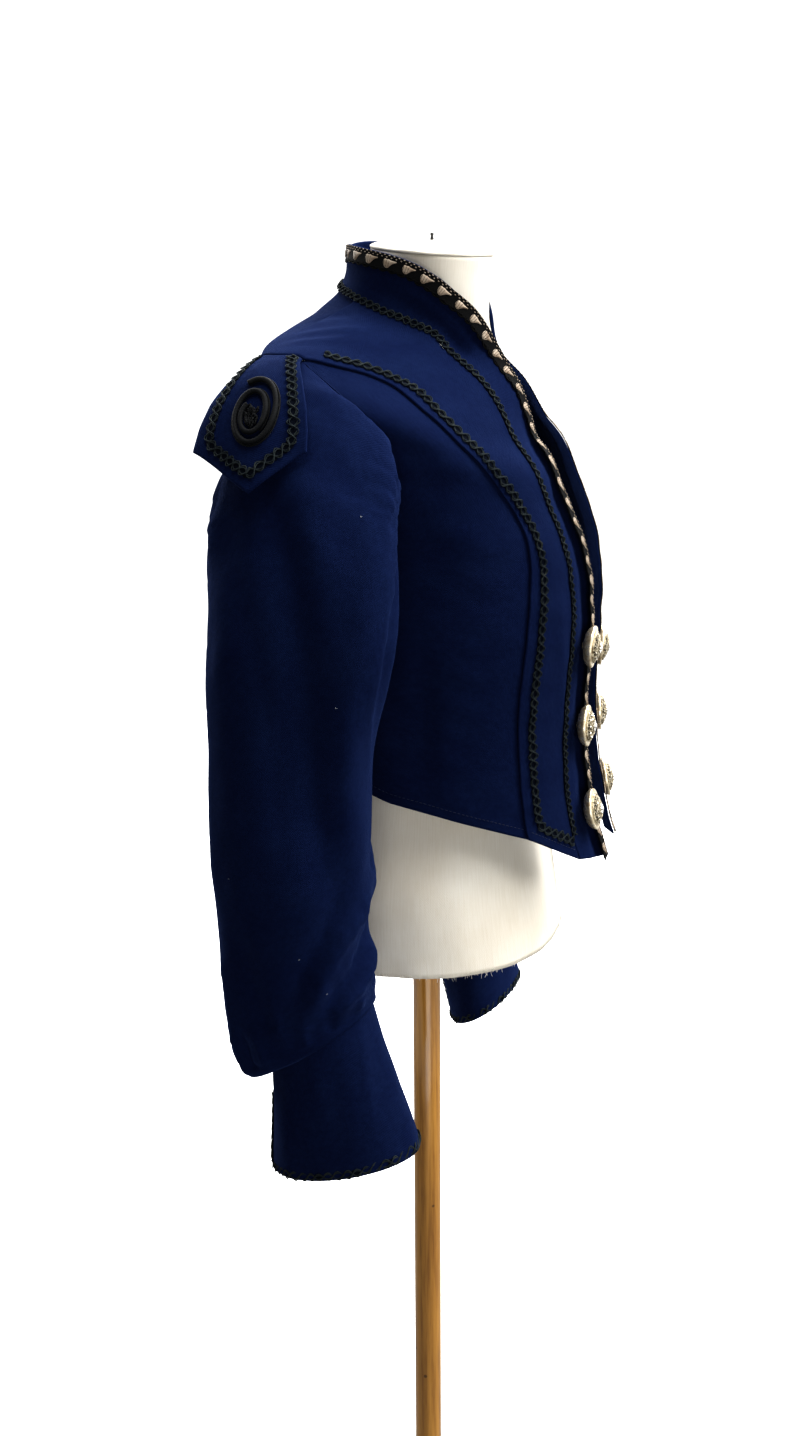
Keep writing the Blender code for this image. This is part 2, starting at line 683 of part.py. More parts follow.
def tab_points(front):
    """The shoulder tab's inner points: from the shoulder edge outward and down over the sleeve."""
    first = len(front.points) - len(TAB_SHARES)
    edge = front.points[first:, -1]
    along = unit(edge - front.points[first:, -2])
    starts = edge + front.normals[first:, -1] * LAP + along * SEAM_GAP
    grid = []
    for share in np.linspace(0.0, 1.0, TAB_STEPS + 1):
        row = []
        for column, start, way in zip(TAB_SHARES, starts, along):
            point_share = 1.0 - abs(2.0 * column - 1.0)
            distance = (TAB_SIDE + (TAB_LENGTH - TAB_SIDE) * point_share) * share
            steps = np.linspace(0.0, distance, 25)
            middle = (steps[1:] + steps[:-1]) / 2.0
            slope = np.radians(np.interp(middle, TAB_ROWS[:, 0], TAB_ROWS[:, 1]))
            spread = np.interp(distance, TAB_ROWS[:, 0], TAB_ROWS[:, 2]) - TAB_ROWS[0, 2]
            turned = np.minimum(1.0, middle / TAB_TURN)[:, None]
            table_way = np.stack((-np.cos(slope), np.zeros(len(slope)), -np.sin(slope)), -1)
            ways = unit(way * (1.0 - turned) + table_way * turned)
            place = start + ways.sum(axis=0) * (distance / 24.0)
            shift = spread * (column - TAB_PIVOT) - TAB_TIP_FORWARD * point_share * share
            row.append(place + np.array((0.0, shift, 0.0)))
        grid.append(row)
    return np.array(grid)


def build_tab(side, front, cloth, braid, cord):
    inner = tab_points(front)
    normals = grid_normal(inner, False)
    if normals[:, :, 0].mean() > 0.0:
        normals = -normals
    normals[0] = front.normals[-len(TAB_SHARES):, -1]
    outer = inner + normals * CLOTH
    shell_mesh("shoulder_tab_" + side, mirror_side(outer, side), mirror_side(inner, side), cloth)
    low = outer + normals * SEAM_GAP
    high = low + normals * BRAID_THICK
    rows, columns = inner.shape[:2]
    cells = [(row, 1) for row in range(1, rows - 2)]
    cells += [(row, columns - 3) for row in range(1, rows - 2)]
    cells += [(rows - 3, column) for column in range(2, columns - 3)]
    shell_mesh("tab_braid_" + side, mirror_side(high, side), mirror_side(low, side), braid, cells=cells)
    build_rosette(side, outer, normals, cord)


ROSETTE_TURNS = 2.4
ROSETTE_FORWARD = 0.0185
ROSETTE_RISE = 0.0300
ROSETTE_INNER = 0.26
ROSETTE_STEPS = 34
CORD_RADIUS = 0.0025
ROSETTE_LIFT = 0.0006


def surface_tree(points):
    """A grid of points as squares that a ray can be sent at."""
    rows, columns = points.shape[:2]
    squares = []
    for row in range(rows - 1):
        for column in range(columns - 1):
            corner = row * columns + column
            squares.append((corner, corner + 1, corner + columns + 1, corner + columns))
    return BVHTree.FromPolygons([Vector(point) for point in points.reshape(-1, 3)], squares)


def surface_spot(tree, place, way):
    """The place on a surface that lies behind or before a place, along a direction."""
    hit = tree.ray_cast(Vector(place + way * 0.03), Vector(-way))[0]
    return np.array(hit)


def build_rosette(side, surface, normals, material):
    """A coil of cord that lies on the shoulder tab, an oval longer down the slope."""
    rows, columns = surface.shape[:2]
    tree = surface_tree(surface)
    centre = surface[rows // 2, columns // 2]
    up = normals[rows // 2, columns // 2]
    forward = unit(np.array((0.0, -1.0, 0.0)) + up * up[1])
    rise = np.cross(up, forward)
    path = []
    for index in range(ROSETTE_STEPS + 1):
        share = index / ROSETTE_STEPS
        turn = 2.0 * math.pi * ROSETTE_TURNS * share
        reach = ROSETTE_INNER + (1.0 - ROSETTE_INNER) * share
        flat = centre + forward * ROSETTE_FORWARD * reach * math.cos(turn)
        flat = flat + rise * ROSETTE_RISE * reach * math.sin(turn)
        path.append(surface_spot(tree, flat, up) + up * (CORD_RADIUS + ROSETTE_LIFT))
    tube("rosette_" + side, mirror_side(np.array(path), side), CORD_RADIUS, 5, material)


def tube(name, path, radius, sides, material):
    """A round cord along a path, closed by a flat cap at each end."""
    along = unit(np.gradient(path, axis=0))
    guide = np.array((1.0, 0.0, 0.0))
    mesh = bmesh.new()
    rings = []
    for point, way in zip(path, along):
        side_way = unit(np.cross(way, guide))
        up_way = np.cross(side_way, way)
        ring = []
        for index in range(sides):
            turn = 2.0 * math.pi * index / sides
            out = side_way * math.cos(turn) + up_way * math.sin(turn)
            ring.append(mesh.verts.new(point + radius * out))
        rings.append(ring)
    for first, second in zip(rings, rings[1:]):
        for index in range(sides):
            after = (index + 1) % sides
            mesh.faces.new((first[index], first[after], second[after], second[index]))
    mesh.faces.new(list(reversed(rings[0])))
    mesh.faces.new(rings[-1])
    bmesh.ops.recalc_face_normals(mesh, faces=mesh.faces)
    return finish_mesh(name, mesh, material)


def lathe(name, profile, segments, material):
    """A closed solid turned about Z from radius and height pairs that start and end on the axis."""
    mesh = bmesh.new()
    rings = []
    for radius, height in profile:
        if radius < 1e-9:
            rings.append([mesh.verts.new((0.0, 0.0, height))])
            continue
        ring = []
        for index in range(segments):
            turn = 2.0 * math.pi * index / segments
            ring.append(mesh.verts.new((radius * math.cos(turn), radius * math.sin(turn), height)))
        rings.append(ring)
    for first, second in zip(rings, rings[1:]):
        for index in range(segments):
            after = (index + 1) % segments
            if len(first) == 1:
                mesh.faces.new((first[0], second[index], second[after]))
            elif len(second) == 1:
                mesh.faces.new((first[index], second[0], first[after]))
            else:
                mesh.faces.new((first[index], second[index], second[after], first[after]))
    bmesh.ops.recalc_face_normals(mesh, faces=mesh.faces)
    return finish_mesh(name, mesh, material)


def band_spot(height, out):
    """The point and direction on the band's outer face at a height and a distance from the middle."""
    low_ring = 0.0
    high_ring = 6.0
    for _ in range(40):
        ring = (low_ring + high_ring) / 2.0
        angle = out_angle(np.array(ring), out)
        if ring_point(JACKET_RINGS, ring, angle)[2] < height:
            low_ring = ring
        else:
            high_ring = ring
    way = ring_normal(JACKET_RINGS, ring, angle)
    return ring_point(JACKET_RINGS, ring, angle) + way * (LAP + CLOTH), way


def build_button(side, index, height, tree, material):
    """A shell with a domed face on a short shank, set square to the band."""
    spot, way = band_spot(height, BUTTON_OUT[side])
    spot = surface_spot(tree, spot, way)
    profile = (
        (0.0, 0.0), (BUTTON_SHANK, 0.0), (BUTTON_SHANK, 0.0026), (BUTTON_RADIUS * 0.80, 0.0038),
        (BUTTON_RADIUS, 0.0066), (BUTTON_RADIUS * 0.80, 0.0102), (BUTTON_RADIUS * 0.42, 0.0124),
        (0.0, 0.0132),
    )
    button = lathe("button_%s_%d" % (side, index), profile, 12, material)
    facing = mirror_side(way, side)
    button.location = mirror_side(spot, side) + facing * BUTTON_LIFT
    tilt = math.acos(max(-1.0, min(1.0, facing[2])))
    button.rotation_euler = (0.0, tilt, math.atan2(facing[1], facing[0]))
    return button


CAP_RISE = 0.0090
PIN_RADIUS = 0.0015
PIN_HEIGHT = 0.0060


def build_form(cover, pin):
    """The padded torso with its neck, closed above and below, and the neck's domed cap and pin."""
    angles = np.linspace(0.0, 360.0, 28, endpoint=False)
    places = (0.0, 1.0, 1.6, 2.3, 3.0, 4.0, 5.0, 6.0, 7.0, 8.0, 9.0, 9.6, 10.2, 11.0, 12.0, 13.0)
    mesh = bmesh.new()
    rings = []
    for place in places:
        points = ring_point(FORM_RINGS, np.full(len(angles), place), angles)
        rings.append([mesh.verts.new(point) for point in points])
    for first, second in zip(rings, rings[1:]):
        for index in range(len(angles)):
            after = (index + 1) % len(angles)
            mesh.faces.new((first[index], first[after], second[after], second[index]))
    mesh.faces.new(rings[0])
    mesh.faces.new(rings[-1])
    bmesh.ops.recalc_face_normals(mesh, faces=mesh.faces)
    finish_mesh("form_torso", mesh, cover)
    top = FORM_RINGS[-1]
    radius = top[3]
    profile = (
        (0.0, 0.0), (radius, 0.0), (radius, 0.0025), (radius * 0.86, 0.0055), (radius * 0.5, 0.0080),
        (0.0, CAP_RISE),
    )
    cap_part = lathe("form_neck_cap", profile, 28, cover)
    cap_part.location = (0.0, top[1], top[0] + SEAM_GAP)
    cap_part.rotation_euler = (math.radians(top[2]), 0.0, 0.0)
    pin_foot = top[0] + CAP_RISE + SEAM_GAP * 2.0
    pin_top = pin_foot + PIN_HEIGHT
    pin_profile = ((0.0, pin_foot), (PIN_RADIUS, pin_foot), (PIN_RADIUS, pin_top), (0.0, pin_top))
    pin_part = lathe("neck_pin", pin_profile, 8, pin)
    pin_part.location = (0.0, top[1], 0.0)


def build_stand(pole_material, base_material):
    """A turned pole in a hub on a round base."""
    pole_bottom = BASE_THICK + SEAM_GAP
    pole_top = FORM_HEM - SEAM_GAP
    profile = ((0.0, pole_bottom), (POLE_RADIUS, pole_bottom), (POLE_RADIUS, pole_top), (0.0, pole_top))
    lathe("pole", profile, 24, pole_material)
    hole = POLE_RADIUS + SEAM_GAP
    disc = (
        (0.0, 0.0), (BASE_RADIUS - 0.004, 0.0), (BASE_RADIUS, 0.004),
        (BASE_RADIUS, BASE_THICK - 0.003), (BASE_RADIUS - 0.004, BASE_THICK),
        (HUB_RADIUS + 0.012, BASE_THICK), (HUB_RADIUS, BASE_THICK + 0.012),
        (HUB_RADIUS, HUB_HEIGHT - 0.004), (HUB_RADIUS - 0.004, HUB_HEIGHT),
        (hole, HUB_HEIGHT), (hole, BASE_THICK), (0.0, BASE_THICK),
    )
    lathe("base", disc, 32, base_material)


def build_part():
    clear_scene()
    wool = make_material("navy_wool", (0.010, 0.016, 0.075), 0.95)
    braid = make_material("black_braid", (0.012, 0.013, 0.012), 0.80)
    ribbon = make_material("patterned_ribbon", (0.30, 0.25, 0.19), 0.80)
    cord = make_material("black_cord", (0.012, 0.012, 0.012), 0.75)
    metal = make_material("button_metal", (0.55, 0.50, 0.40), 0.35, 0.9)
    calico = make_material("form_calico", (0.80, 0.76, 0.68), 0.95)
    wood = make_material("pole_varnish", (0.36, 0.21, 0.06), 0.35)
    iron = make_material("base_iron", (0.03, 0.03, 0.03), 0.5, 0.6)

    build_stand(wood, iron)
    build_form(calico, iron)

    for side in SIDES:
        places = front_places(side)
        front = Panel(places, LAP, (SEAM_GAP / 2, 0.0, 0.0, 0.0))
        band = collar_band(side, places)
        back_panel(places).build("back_" + side, side, wool)
        side_front_panel(places).build("side_front_" + side, side, wool)
        front.build("front_" + side, side, wool)
        band.build("collar_band_" + side, side, wool, turned=True)
        build_sleeve(side, wool)
        build_cuff(side, wool, braid)
        build_tab(side, front, wool, braid, cord)

        rows, columns = band.points.shape[:2]
        edge_cells = [(row, 0) for row in range(rows - 1)]
        seam_cells = [(row, columns - 2) for row in range(1, rows - 1)]
        band.trim("ribbon_" + side, side, ribbon, RIBBON_THICK, edge_cells)
        band.trim("inner_braid_" + side, side, braid, BRAID_THICK, seam_cells)

        rows, columns = front.points.shape[:2]
        cells = [(row, columns - 3) for row in range(1, rows - len(TAB_SHARES))]
        cells += [(1, column) for column in range(columns - 3)]
        front.trim("outer_braid_" + side, side, braid, BRAID_THICK, cells)

        tree = surface_tree(band.layer(LAP + CLOTH, "right"))
        for index, height in enumerate(BUTTON_HEIGHTS[side], start=1):
            build_button(side, index, height, tree, metal)


build_part()
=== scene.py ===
"""Looks of a short navy Edwardian jacket worn by a limbless dress form on a pole stand.

Metres, +Z up, front towards -Y, the wearer's right towards -X. The photograph looks at the
wearer's right sleeve from a little in front and above.
"""

import math

import bmesh
import bpy
import numpy as np
from mathutils import Euler, Matrix, Vector


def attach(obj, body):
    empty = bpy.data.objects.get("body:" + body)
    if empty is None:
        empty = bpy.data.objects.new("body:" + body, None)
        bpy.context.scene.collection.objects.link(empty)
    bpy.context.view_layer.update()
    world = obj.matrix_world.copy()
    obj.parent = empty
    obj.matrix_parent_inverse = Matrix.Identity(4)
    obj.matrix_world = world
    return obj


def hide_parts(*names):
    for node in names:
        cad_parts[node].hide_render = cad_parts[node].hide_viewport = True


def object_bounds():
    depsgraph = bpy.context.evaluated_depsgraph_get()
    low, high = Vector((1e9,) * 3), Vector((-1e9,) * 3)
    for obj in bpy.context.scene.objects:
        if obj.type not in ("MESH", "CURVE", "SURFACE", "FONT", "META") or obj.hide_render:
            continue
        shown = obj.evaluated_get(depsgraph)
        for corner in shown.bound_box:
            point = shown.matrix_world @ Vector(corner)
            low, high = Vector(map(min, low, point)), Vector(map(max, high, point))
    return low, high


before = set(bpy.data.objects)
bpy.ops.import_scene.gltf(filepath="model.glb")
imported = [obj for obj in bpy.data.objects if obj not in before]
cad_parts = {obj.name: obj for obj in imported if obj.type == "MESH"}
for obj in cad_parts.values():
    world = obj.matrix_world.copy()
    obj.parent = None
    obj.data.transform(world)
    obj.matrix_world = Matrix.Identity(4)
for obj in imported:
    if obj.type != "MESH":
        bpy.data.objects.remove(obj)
cad_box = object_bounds()
scene = bpy.context.scene
SIDES = {"right": 1.0, "left": -1.0}


# Camera
# One lens in front of the wearer's right shoulder, looking a little down, as in the photograph.
CAMERA_LENS = 50.0
CAMERA_TURN = math.radians(12.0)
CAMERA_PITCH = math.radians(15.81)
CAMERA_ROLL = math.radians(-0.464)
CAMERA_DISTANCE = 1.703
CAMERA_HEIGHT = 1.498
CAMERA_SHIFT = -0.0254

camera_back = Vector((-math.cos(CAMERA_TURN), -math.sin(CAMERA_TURN), 0.0))
camera_side = Vector((math.sin(CAMERA_TURN), -math.cos(CAMERA_TURN), 0.0))
camera_place = camera_back * CAMERA_DISTANCE + camera_side * CAMERA_SHIFT + Vector((0.0, 0.0, CAMERA_HEIGHT))
camera_look = -camera_back * math.cos(CAMERA_PITCH) - Vector((0.0, 0.0, math.sin(CAMERA_PITCH)))
camera_up = camera_side.cross(camera_look)
camera_right = camera_side * math.cos(CAMERA_ROLL) + camera_up * math.sin(CAMERA_ROLL)
camera_up = camera_up * math.cos(CAMERA_ROLL) - camera_side * math.sin(CAMERA_ROLL)
camera_data = bpy.data.cameras.new("camera")
camera_data.lens = CAMERA_LENS
camera_data.sensor_width = 36.0
camera_data.clip_start = 0.05
camera_data.clip_end = 60.0


def place_object(name, data):
    """A new object with the data, in the scene."""
    item = bpy.data.objects.new(name, data)
    scene.collection.objects.link(item)
    return item


scene.camera = place_object("camera", camera_data)
camera_axes = Matrix((camera_right, camera_up, -camera_look)).transposed().to_4x4()
scene.camera.matrix_world = Matrix.Translation(camera_place) @ camera_axes
scene.render.resolution_x = 794
scene.render.resolution_y = 1436


# Node helpers for every material
def new_material(name, **settings):
    """A Principled material with constant settings on its shader's own sockets."""
    material = bpy.data.materials.new(name)
    material.use_nodes = True
    shader = material.node_tree.nodes["Principled BSDF"]
    for socket, value in settings.items():
        shader.inputs[socket.replace("_", " ")].default_value = value
    return material, material.node_tree, shader


def add_node(tree, kind, inputs=None, **settings):
    """A node with its properties set and its sockets filled by values or by other nodes' outputs."""
    node = tree.nodes.new(kind)
    for name, value in settings.items():
        setattr(node, name, value)
    for socket, value in (inputs or {}).items():
        if isinstance(value, bpy.types.NodeSocket):
            tree.links.new(value, node.inputs[socket])
        else:
            node.inputs[socket].default_value = value
    return node


def math_node(tree, operation, first, second=0.0, third=0.0):
    return add_node(tree, "ShaderNodeMath", {0: first, 1: second, 2: third}, operation=operation).outputs[0]


def ramp(tree, value, stops):
    """A colour ramp from a value; stops are (position, colour) pairs."""
    node = add_node(tree, "ShaderNodeValToRGB", {"Fac": value})
    elements = node.color_ramp.elements
    while len(elements) < len(stops):
        elements.new(0.5)
    for element, (position, colour) in zip(elements, stops):
        element.position = position
        element.color = (*colour, 1.0)
    return node.outputs["Color"]


def mix_colour(tree, factor, *colours, **settings):
    """Two colours mixed; each is another node's output or three numbers."""
    first, second = (
        colour if isinstance(colour, bpy.types.NodeSocket) else (*colour, 1.0) for colour in colours
    )
    inputs = {0: factor, 6: first, 7: second}
    return add_node(tree, "ShaderNodeMix", inputs, data_type="RGBA", **settings).outputs[2]


def noise(tree, place, scale, detail, roughness=0.5):
    """Noise from 0 to 1 at a place."""
    inputs = {"Vector": place, "Scale": scale, "Detail": detail, "Roughness": roughness}
    return add_node(tree, "ShaderNodeTexNoise", inputs).outputs["Fac"]


def map_range(tree, value, low, high):
    """A value from 0 to 1 moved to the range from low to high."""
    inputs = {"Value": value, "To Min": low, "To Max": high}
    return add_node(tree, "ShaderNodeMapRange", inputs).outputs["Result"]


def scaled(tree, place, scale):
    """A place with each of its directions scaled."""
    return add_node(tree, "ShaderNodeMapping", {"Vector": place, "Scale": scale}).outputs["Vector"]


def object_place(tree):
    return add_node(tree, "ShaderNodeTexCoord").outputs["Object"]


def paint(tree, shader, colour, normal=None, roughness=None):
    """Links what changes over the surface to the material's shader."""
    for socket, value in (("Base Color", colour), ("Normal", normal), ("Roughness", roughness)):
        if value is not None:
            tree.links.new(value, shader.inputs[socket])


def speckled(name, scale, detail, stops, relief=None, **settings):
    """A material with one noise for its colour and, where relief gives depth and strength, its bump."""
    material, tree, shader = new_material(name, **settings)
    fleck = noise(tree, object_place(tree), scale, detail)
    paint(tree, shader, ramp(tree, fleck, stops), relief and bump(tree, fleck, *relief))
    return material, tree, shader, fleck


def bump(tree, height, distance, strength=1.0):
    node = add_node(tree, "ShaderNodeBump", {"Height": height, "Distance": distance, "Strength": strength})
    return node.outputs["Normal"]


def group_tree(name, inputs, outputs):
    """An empty node group for an effect that several materials share."""
    tree = bpy.data.node_groups.new(name, "ShaderNodeTree")
    for socket, kind, value in inputs:
        tree.interface.new_socket(socket, in_out="INPUT", socket_type=kind).default_value = value
    for socket, kind in outputs:
        tree.interface.new_socket(socket, in_out="OUTPUT", socket_type=kind)
    return tree, tree.nodes.new("NodeGroupInput"), tree.nodes.new("NodeGroupOutput")


# Studio
# A pale floor under a white sky. The light is soft and comes from the jacket's front and above, so
# the side that faces the camera is mostly in shade, as in the photo.
FLOOR_SIZE = 7.0
FLOOR_SHOWN = 0.95
FLOOR_PALEST = 0.97
FLOOR_BOUNCE = 0.20
SKY_SHOWN = 1.0
SKY_LIGHT = 0.04

floor_mesh = bmesh.new()
bmesh.ops.create_grid(floor_mesh, x_segments=2, y_segments=2, size=FLOOR_SIZE / 2.0)
floor_data = bpy.data.meshes.new("floor")
floor_mesh.to_mesh(floor_data)
floor_mesh.free()
floor = place_object("floor", floor_data)
floor_material, floor_tree, floor_shader = new_material("floor_paper", Roughness=0.9)
floor_grain = add_node(floor_tree, "ShaderNodeTexNoise", {"Scale": 3.0, "Detail": 2.0}).outputs["Fac"]
floor_tone = ramp(floor_tree, floor_grain, ((0.3, (FLOOR_SHOWN,) * 3), (0.7, (FLOOR_PALEST,) * 3)))
floor_seen = add_node(floor_tree, "ShaderNodeLightPath").outputs["Is Camera Ray"]
floor_tone = mix_colour(floor_tree, floor_seen, (FLOOR_BOUNCE,) * 3, floor_tone)
paint(floor_tree, floor_shader, floor_tone)
floor_data.materials.append(floor_material)

world = bpy.data.worlds.new("studio")
scene.world = world
world.use_nodes = True
world_tree = world.node_tree
sky = world_tree.nodes["Background"]
sky.inputs["Color"].default_value = (1.0, 1.0, 1.0, 1.0)
ray = add_node(world_tree, "ShaderNodeLightPath")
seen_sky = math_node(world_tree, "MAXIMUM", ray.outputs["Is Camera Ray"], ray.outputs["Is Glossy Ray"])
world_tree.links.new(map_range(world_tree, seen_sky, SKY_LIGHT, SKY_SHOWN), sky.inputs["Strength"])

# Columns: name, place, point looked at, size, watts
STUDIO_LIGHTS = (
    ("key", (0.80, -2.97, 5.04), (0.0, 0.0, 1.10), 2.2, 195.0),
    ("front", (0.10, -4.41, 3.45), (0.0, 0.0, 1.10), 2.2, 120.0),
    ("top", (0.0, 0.1, 3.6), (0.0, 0.0, 1.10), 1.5, 44.0),
    ("low", (-3.2, -1.2, 0.7), (0.0, 0.0, 1.0), 2.5, 46.0),
    ("back", (1.9, 2.9, 2.4), (0.0, 0.0, 1.10), 1.8, 70.0),
    ("floor_wash", (3.0, 0.0, 3.6), (3.6, 0.0, 0.0), 3.0, 260.0),
)
for light_name, place, target, size, watts in STUDIO_LIGHTS:
    light_data = bpy.data.lights.new(light_name, "AREA")
    light_data.energy = watts
    light_data.size = size
    light = place_object(light_name, light_data)
    light.location = place
    light.rotation_euler = (Vector(target) - Vector(place)).to_track_quat("-Z", "Y").to_euler()

scene.view_settings.view_transform = "Standard"
scene.view_settings.look = "High Contrast"


# Stand
# A turned wooden pole, varnished golden brown, in the hub of a plain enamelled iron base.
POLE_RADIUS = 0.0125
POLE_BOTTOM = 0.0103
POLE_TOP = 0.8267
POLE_BEVEL = 0.0008
BASE_PROFILE = (
    (0.0, 0.0), (0.1850, 0.0), (0.1885, 0.0010), (0.1900, 0.0035), (0.1900, 0.0070), (0.1888, 0.0090),
    (0.1860, 0.0100), (0.0400, 0.0100), (0.0330, 0.0105), (0.0275, 0.0135), (0.0245, 0.0190),
    (0.0240, 0.0260), (0.0240, 0.0560), (0.0232, 0.0588), (0.0212, 0.0600), (0.0128, 0.0600),
    (0.0128, 0.0100), (0.0, 0.0100),
)


def object_from_mesh(name, mesh, material):
    bmesh.ops.recalc_face_normals(mesh, faces=mesh.faces)
    data = bpy.data.meshes.new(name)
    mesh.to_mesh(data)
    mesh.free()
    data.materials.append(material)
    data.polygons.foreach_set("use_smooth", [True] * len(data.polygons))
    return place_object(name, data)


def lathe_mesh(profile, segments):
    """Faces turned about Z from radius and height pairs; a pair on the axis becomes one point."""
    mesh = bmesh.new()
    rings = []
    for radius, height in profile:
        if radius < 1e-9:
            rings.append([mesh.verts.new((0.0, 0.0, height))])
            continue
        turns = [math.tau * index / segments for index in range(segments)]
        rings.append([mesh.verts.new((radius * math.cos(t), radius * math.sin(t), height)) for t in turns])
    for first, second in zip(rings, rings[1:]):
        for index in range(segments):
            after = (index + 1) % segments
            if len(first) == 1:
                mesh.faces.new((first[0], second[index], second[after]))
            elif len(second) == 1:
                mesh.faces.new((first[index], second[0], first[after]))
            else:
                mesh.faces.new((first[index], second[index], second[after], first[after]))
    return mesh


def belong(slot, *pieces):
    """The pieces ride with the rest of the object; the slot is not used."""
    for piece in pieces:
        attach(piece, "root")


def stand_for(piece, node, slot):
    """The piece takes a CAD node's place."""
    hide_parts(node)
    belong(slot, piece)


varnish, tree, shader = new_material("pole_varnish", Roughness=0.32, Coat_Weight=0.5, Coat_Roughness=0.12)
place = object_place(tree)
grain = noise(tree, scaled(tree, place, (60.0, 60.0, 3.0)), 3.0, 6.0, 0.65)
wood_colour = ramp(tree, grain, (
    (0.25, (0.190, 0.078, 0.010)), (0.5, (0.400, 0.200, 0.036)), (0.75, (0.540, 0.290, 0.060)),
))
marks = add_node(tree, "ShaderNodeTexVoronoi", {"Vector": place, "Scale": 46.0, "Randomness": 1.0})
worn = ramp(tree, marks.outputs["Distance"], ((0.06, (1.0, 1.0, 1.0)), (0.10, (0.0, 0.0, 0.0))))
wood_colour = mix_colour(tree, math_node(tree, "MULTIPLY", worn, 0.75), wood_colour, (0.060, 0.028, 0.010))
paint(tree, shader, wood_colour, bump(tree, grain, 0.0002, 0.35), map_range(tree, grain, 0.26, 0.42))

pole_profile = (
    (0.0, POLE_BOTTOM), (POLE_RADIUS - POLE_BEVEL, POLE_BOTTOM), (POLE_RADIUS, POLE_BOTTOM + POLE_BEVEL),
    (POLE_RADIUS, 0.25), (POLE_RADIUS, 0.55), (POLE_RADIUS, POLE_TOP - POLE_BEVEL),
    (POLE_RADIUS - POLE_BEVEL, POLE_TOP), (0.0, POLE_TOP),
)
stand_for(object_from_mesh("pole_turned", lathe_mesh(pole_profile, 96), varnish), "pole", "pole_varnish")

enamel, tree, shader = new_material("base_enamel", Metallic=0.55, Roughness=0.45)
place = object_place(tree)
skin = noise(tree, place, 420.0, 3.0)
dust = noise(tree, place, 14.0, 5.0)
iron_colour = ramp(tree, dust, ((0.35, (0.020, 0.020, 0.022)), (0.75, (0.050, 0.048, 0.046))))
paint(tree, shader, iron_colour, bump(tree, skin, 0.0003, 0.5), map_range(tree, dust, 0.34, 0.60))
stand_for(object_from_mesh("base_cast", lathe_mesh(BASE_PROFILE, 128), enamel), "base", "base_iron")


# Dress form
# A padded torso covered in ivory calico, cut off raw at the hem, with a domed cap and a dark pin
# on the neck. The cover is pulled tight, so it only shows its weave and a few shallow creases.
FORM_CREASE = 0.0006
FORM_HEM_PULL = 0.0009
FORM_HEM_HEIGHT = 0.835
FORM_ROWS = 120
FORM_COLUMNS = 120
# Level rings of the form, from its hem to the top of the neck.
# Columns: height, centre_y, tilt, half_width, front, back, round_front, round_back
FORM_RINGS = np.array((
    (0.827, 0.000, 0.0, 0.143, 0.122, 0.112, 2.2, 2.2),
    (0.895, 0.000, 0.0, 0.140, 0.112, 0.108, 2.2, 2.2),
    (0.960, 0.000, 0.0, 0.122, 0.104, 0.088, 2.2, 2.2),
    (1.010, 0.000, 0.0, 0.108, 0.098, 0.078, 2.2, 2.2),
    (1.060, 0.000, 0.0, 0.118, 0.108, 0.080, 2.2, 2.2),
    (1.120, 0.002, 2.0, 0.137, 0.130, 0.089, 2.2, 2.2),
    (1.190, 0.009, 5.0, 0.144, 0.130, 0.0955, 2.2, 2.25),
    (1.250, 0.022, 10.0, 0.154, 0.130, 0.0885, 2.2, 2.35),
    (1.293, 0.042, 16.0, 0.162, 0.140, 0.0725, 2.2, 2.5),
    (1.326, 0.064, 20.0, 0.158, 0.146, 0.047, 2.1, 2.6),
    (1.343, 0.036, 21.0, 0.104, 0.112, 0.046, 2.0, 2.3),
    (1.352, 0.004, 16.0, 0.060, 0.070, 0.054, 2.0, 2.0),
    (1.372, -0.002, 8.0, 0.054, 0.054, 0.053, 2.0, 2.0),
    (1.419, -0.007, 4.0, 0.052, 0.052, 0.052, 2.0, 2.0),
))


def smooth_rows(rows, position):
    """Rows of a table read at fractional positions, on a smooth curve through them."""
    last = len(rows) - 1
    position = np.clip(np.asarray(position, float), 0.0, last - 1e-9)
    whole = np.floor(position).astype(int)
    part = (position - whole)[..., None]
    before, start, end, after = (rows[np.clip(whole + step, 0, last)] for step in (-1, 0, 1, 2))
    return 0.5 * (
        2.0 * start
        + (end - before) * part
        + (2.0 * before - 5.0 * start + 4.0 * end - after) * part ** 2
        + (3.0 * start - before - 3.0 * end + after) * part ** 3
    )


def ring_point(rings, ring, angle):
    """A point on a ring table's surface; the angle runs from the centre front to the wearer's right."""
    row = smooth_rows(rings, ring)
    height, centre_y, tilt, half_width, front, back, round_front, round_back = np.moveaxis(row, -1, 0)
    turn = np.radians(np.asarray(angle, float))
    sine = np.sin(turn)
    cosine = np.cos(turn)
    power = 2.0 / np.where(cosine > 0.0, round_front, round_back)
    depth = np.where(cosine > 0.0, front, back)
    x = -half_width * np.sign(sine) * np.abs(sine) ** power
    along = -depth * np.sign(cosine) * np.abs(cosine) ** power
    lean = np.radians(tilt)
    return np.stack((x, centre_y + along * np.cos(lean), height + along * np.sin(lean)), -1)


def evenly(count):
    """Shares from 0 to 1 in even steps."""
    return np.linspace(0.0, 1.0, count)


def unit(vectors):
    return vectors / np.maximum(np.linalg.norm(vectors, axis=-1, keepdims=True), 1e-12)


def ring_normal(rings, ring, angle, ring_step=0.02, angle_step=0.5):
    up = ring_point(rings, ring + ring_step, angle) - ring_point(rings, ring - ring_step, angle)
    ahead = ring_point(rings, ring, angle + angle_step) - ring_point(rings, ring, angle - angle_step)
    return unit(np.cross(up, ahead))


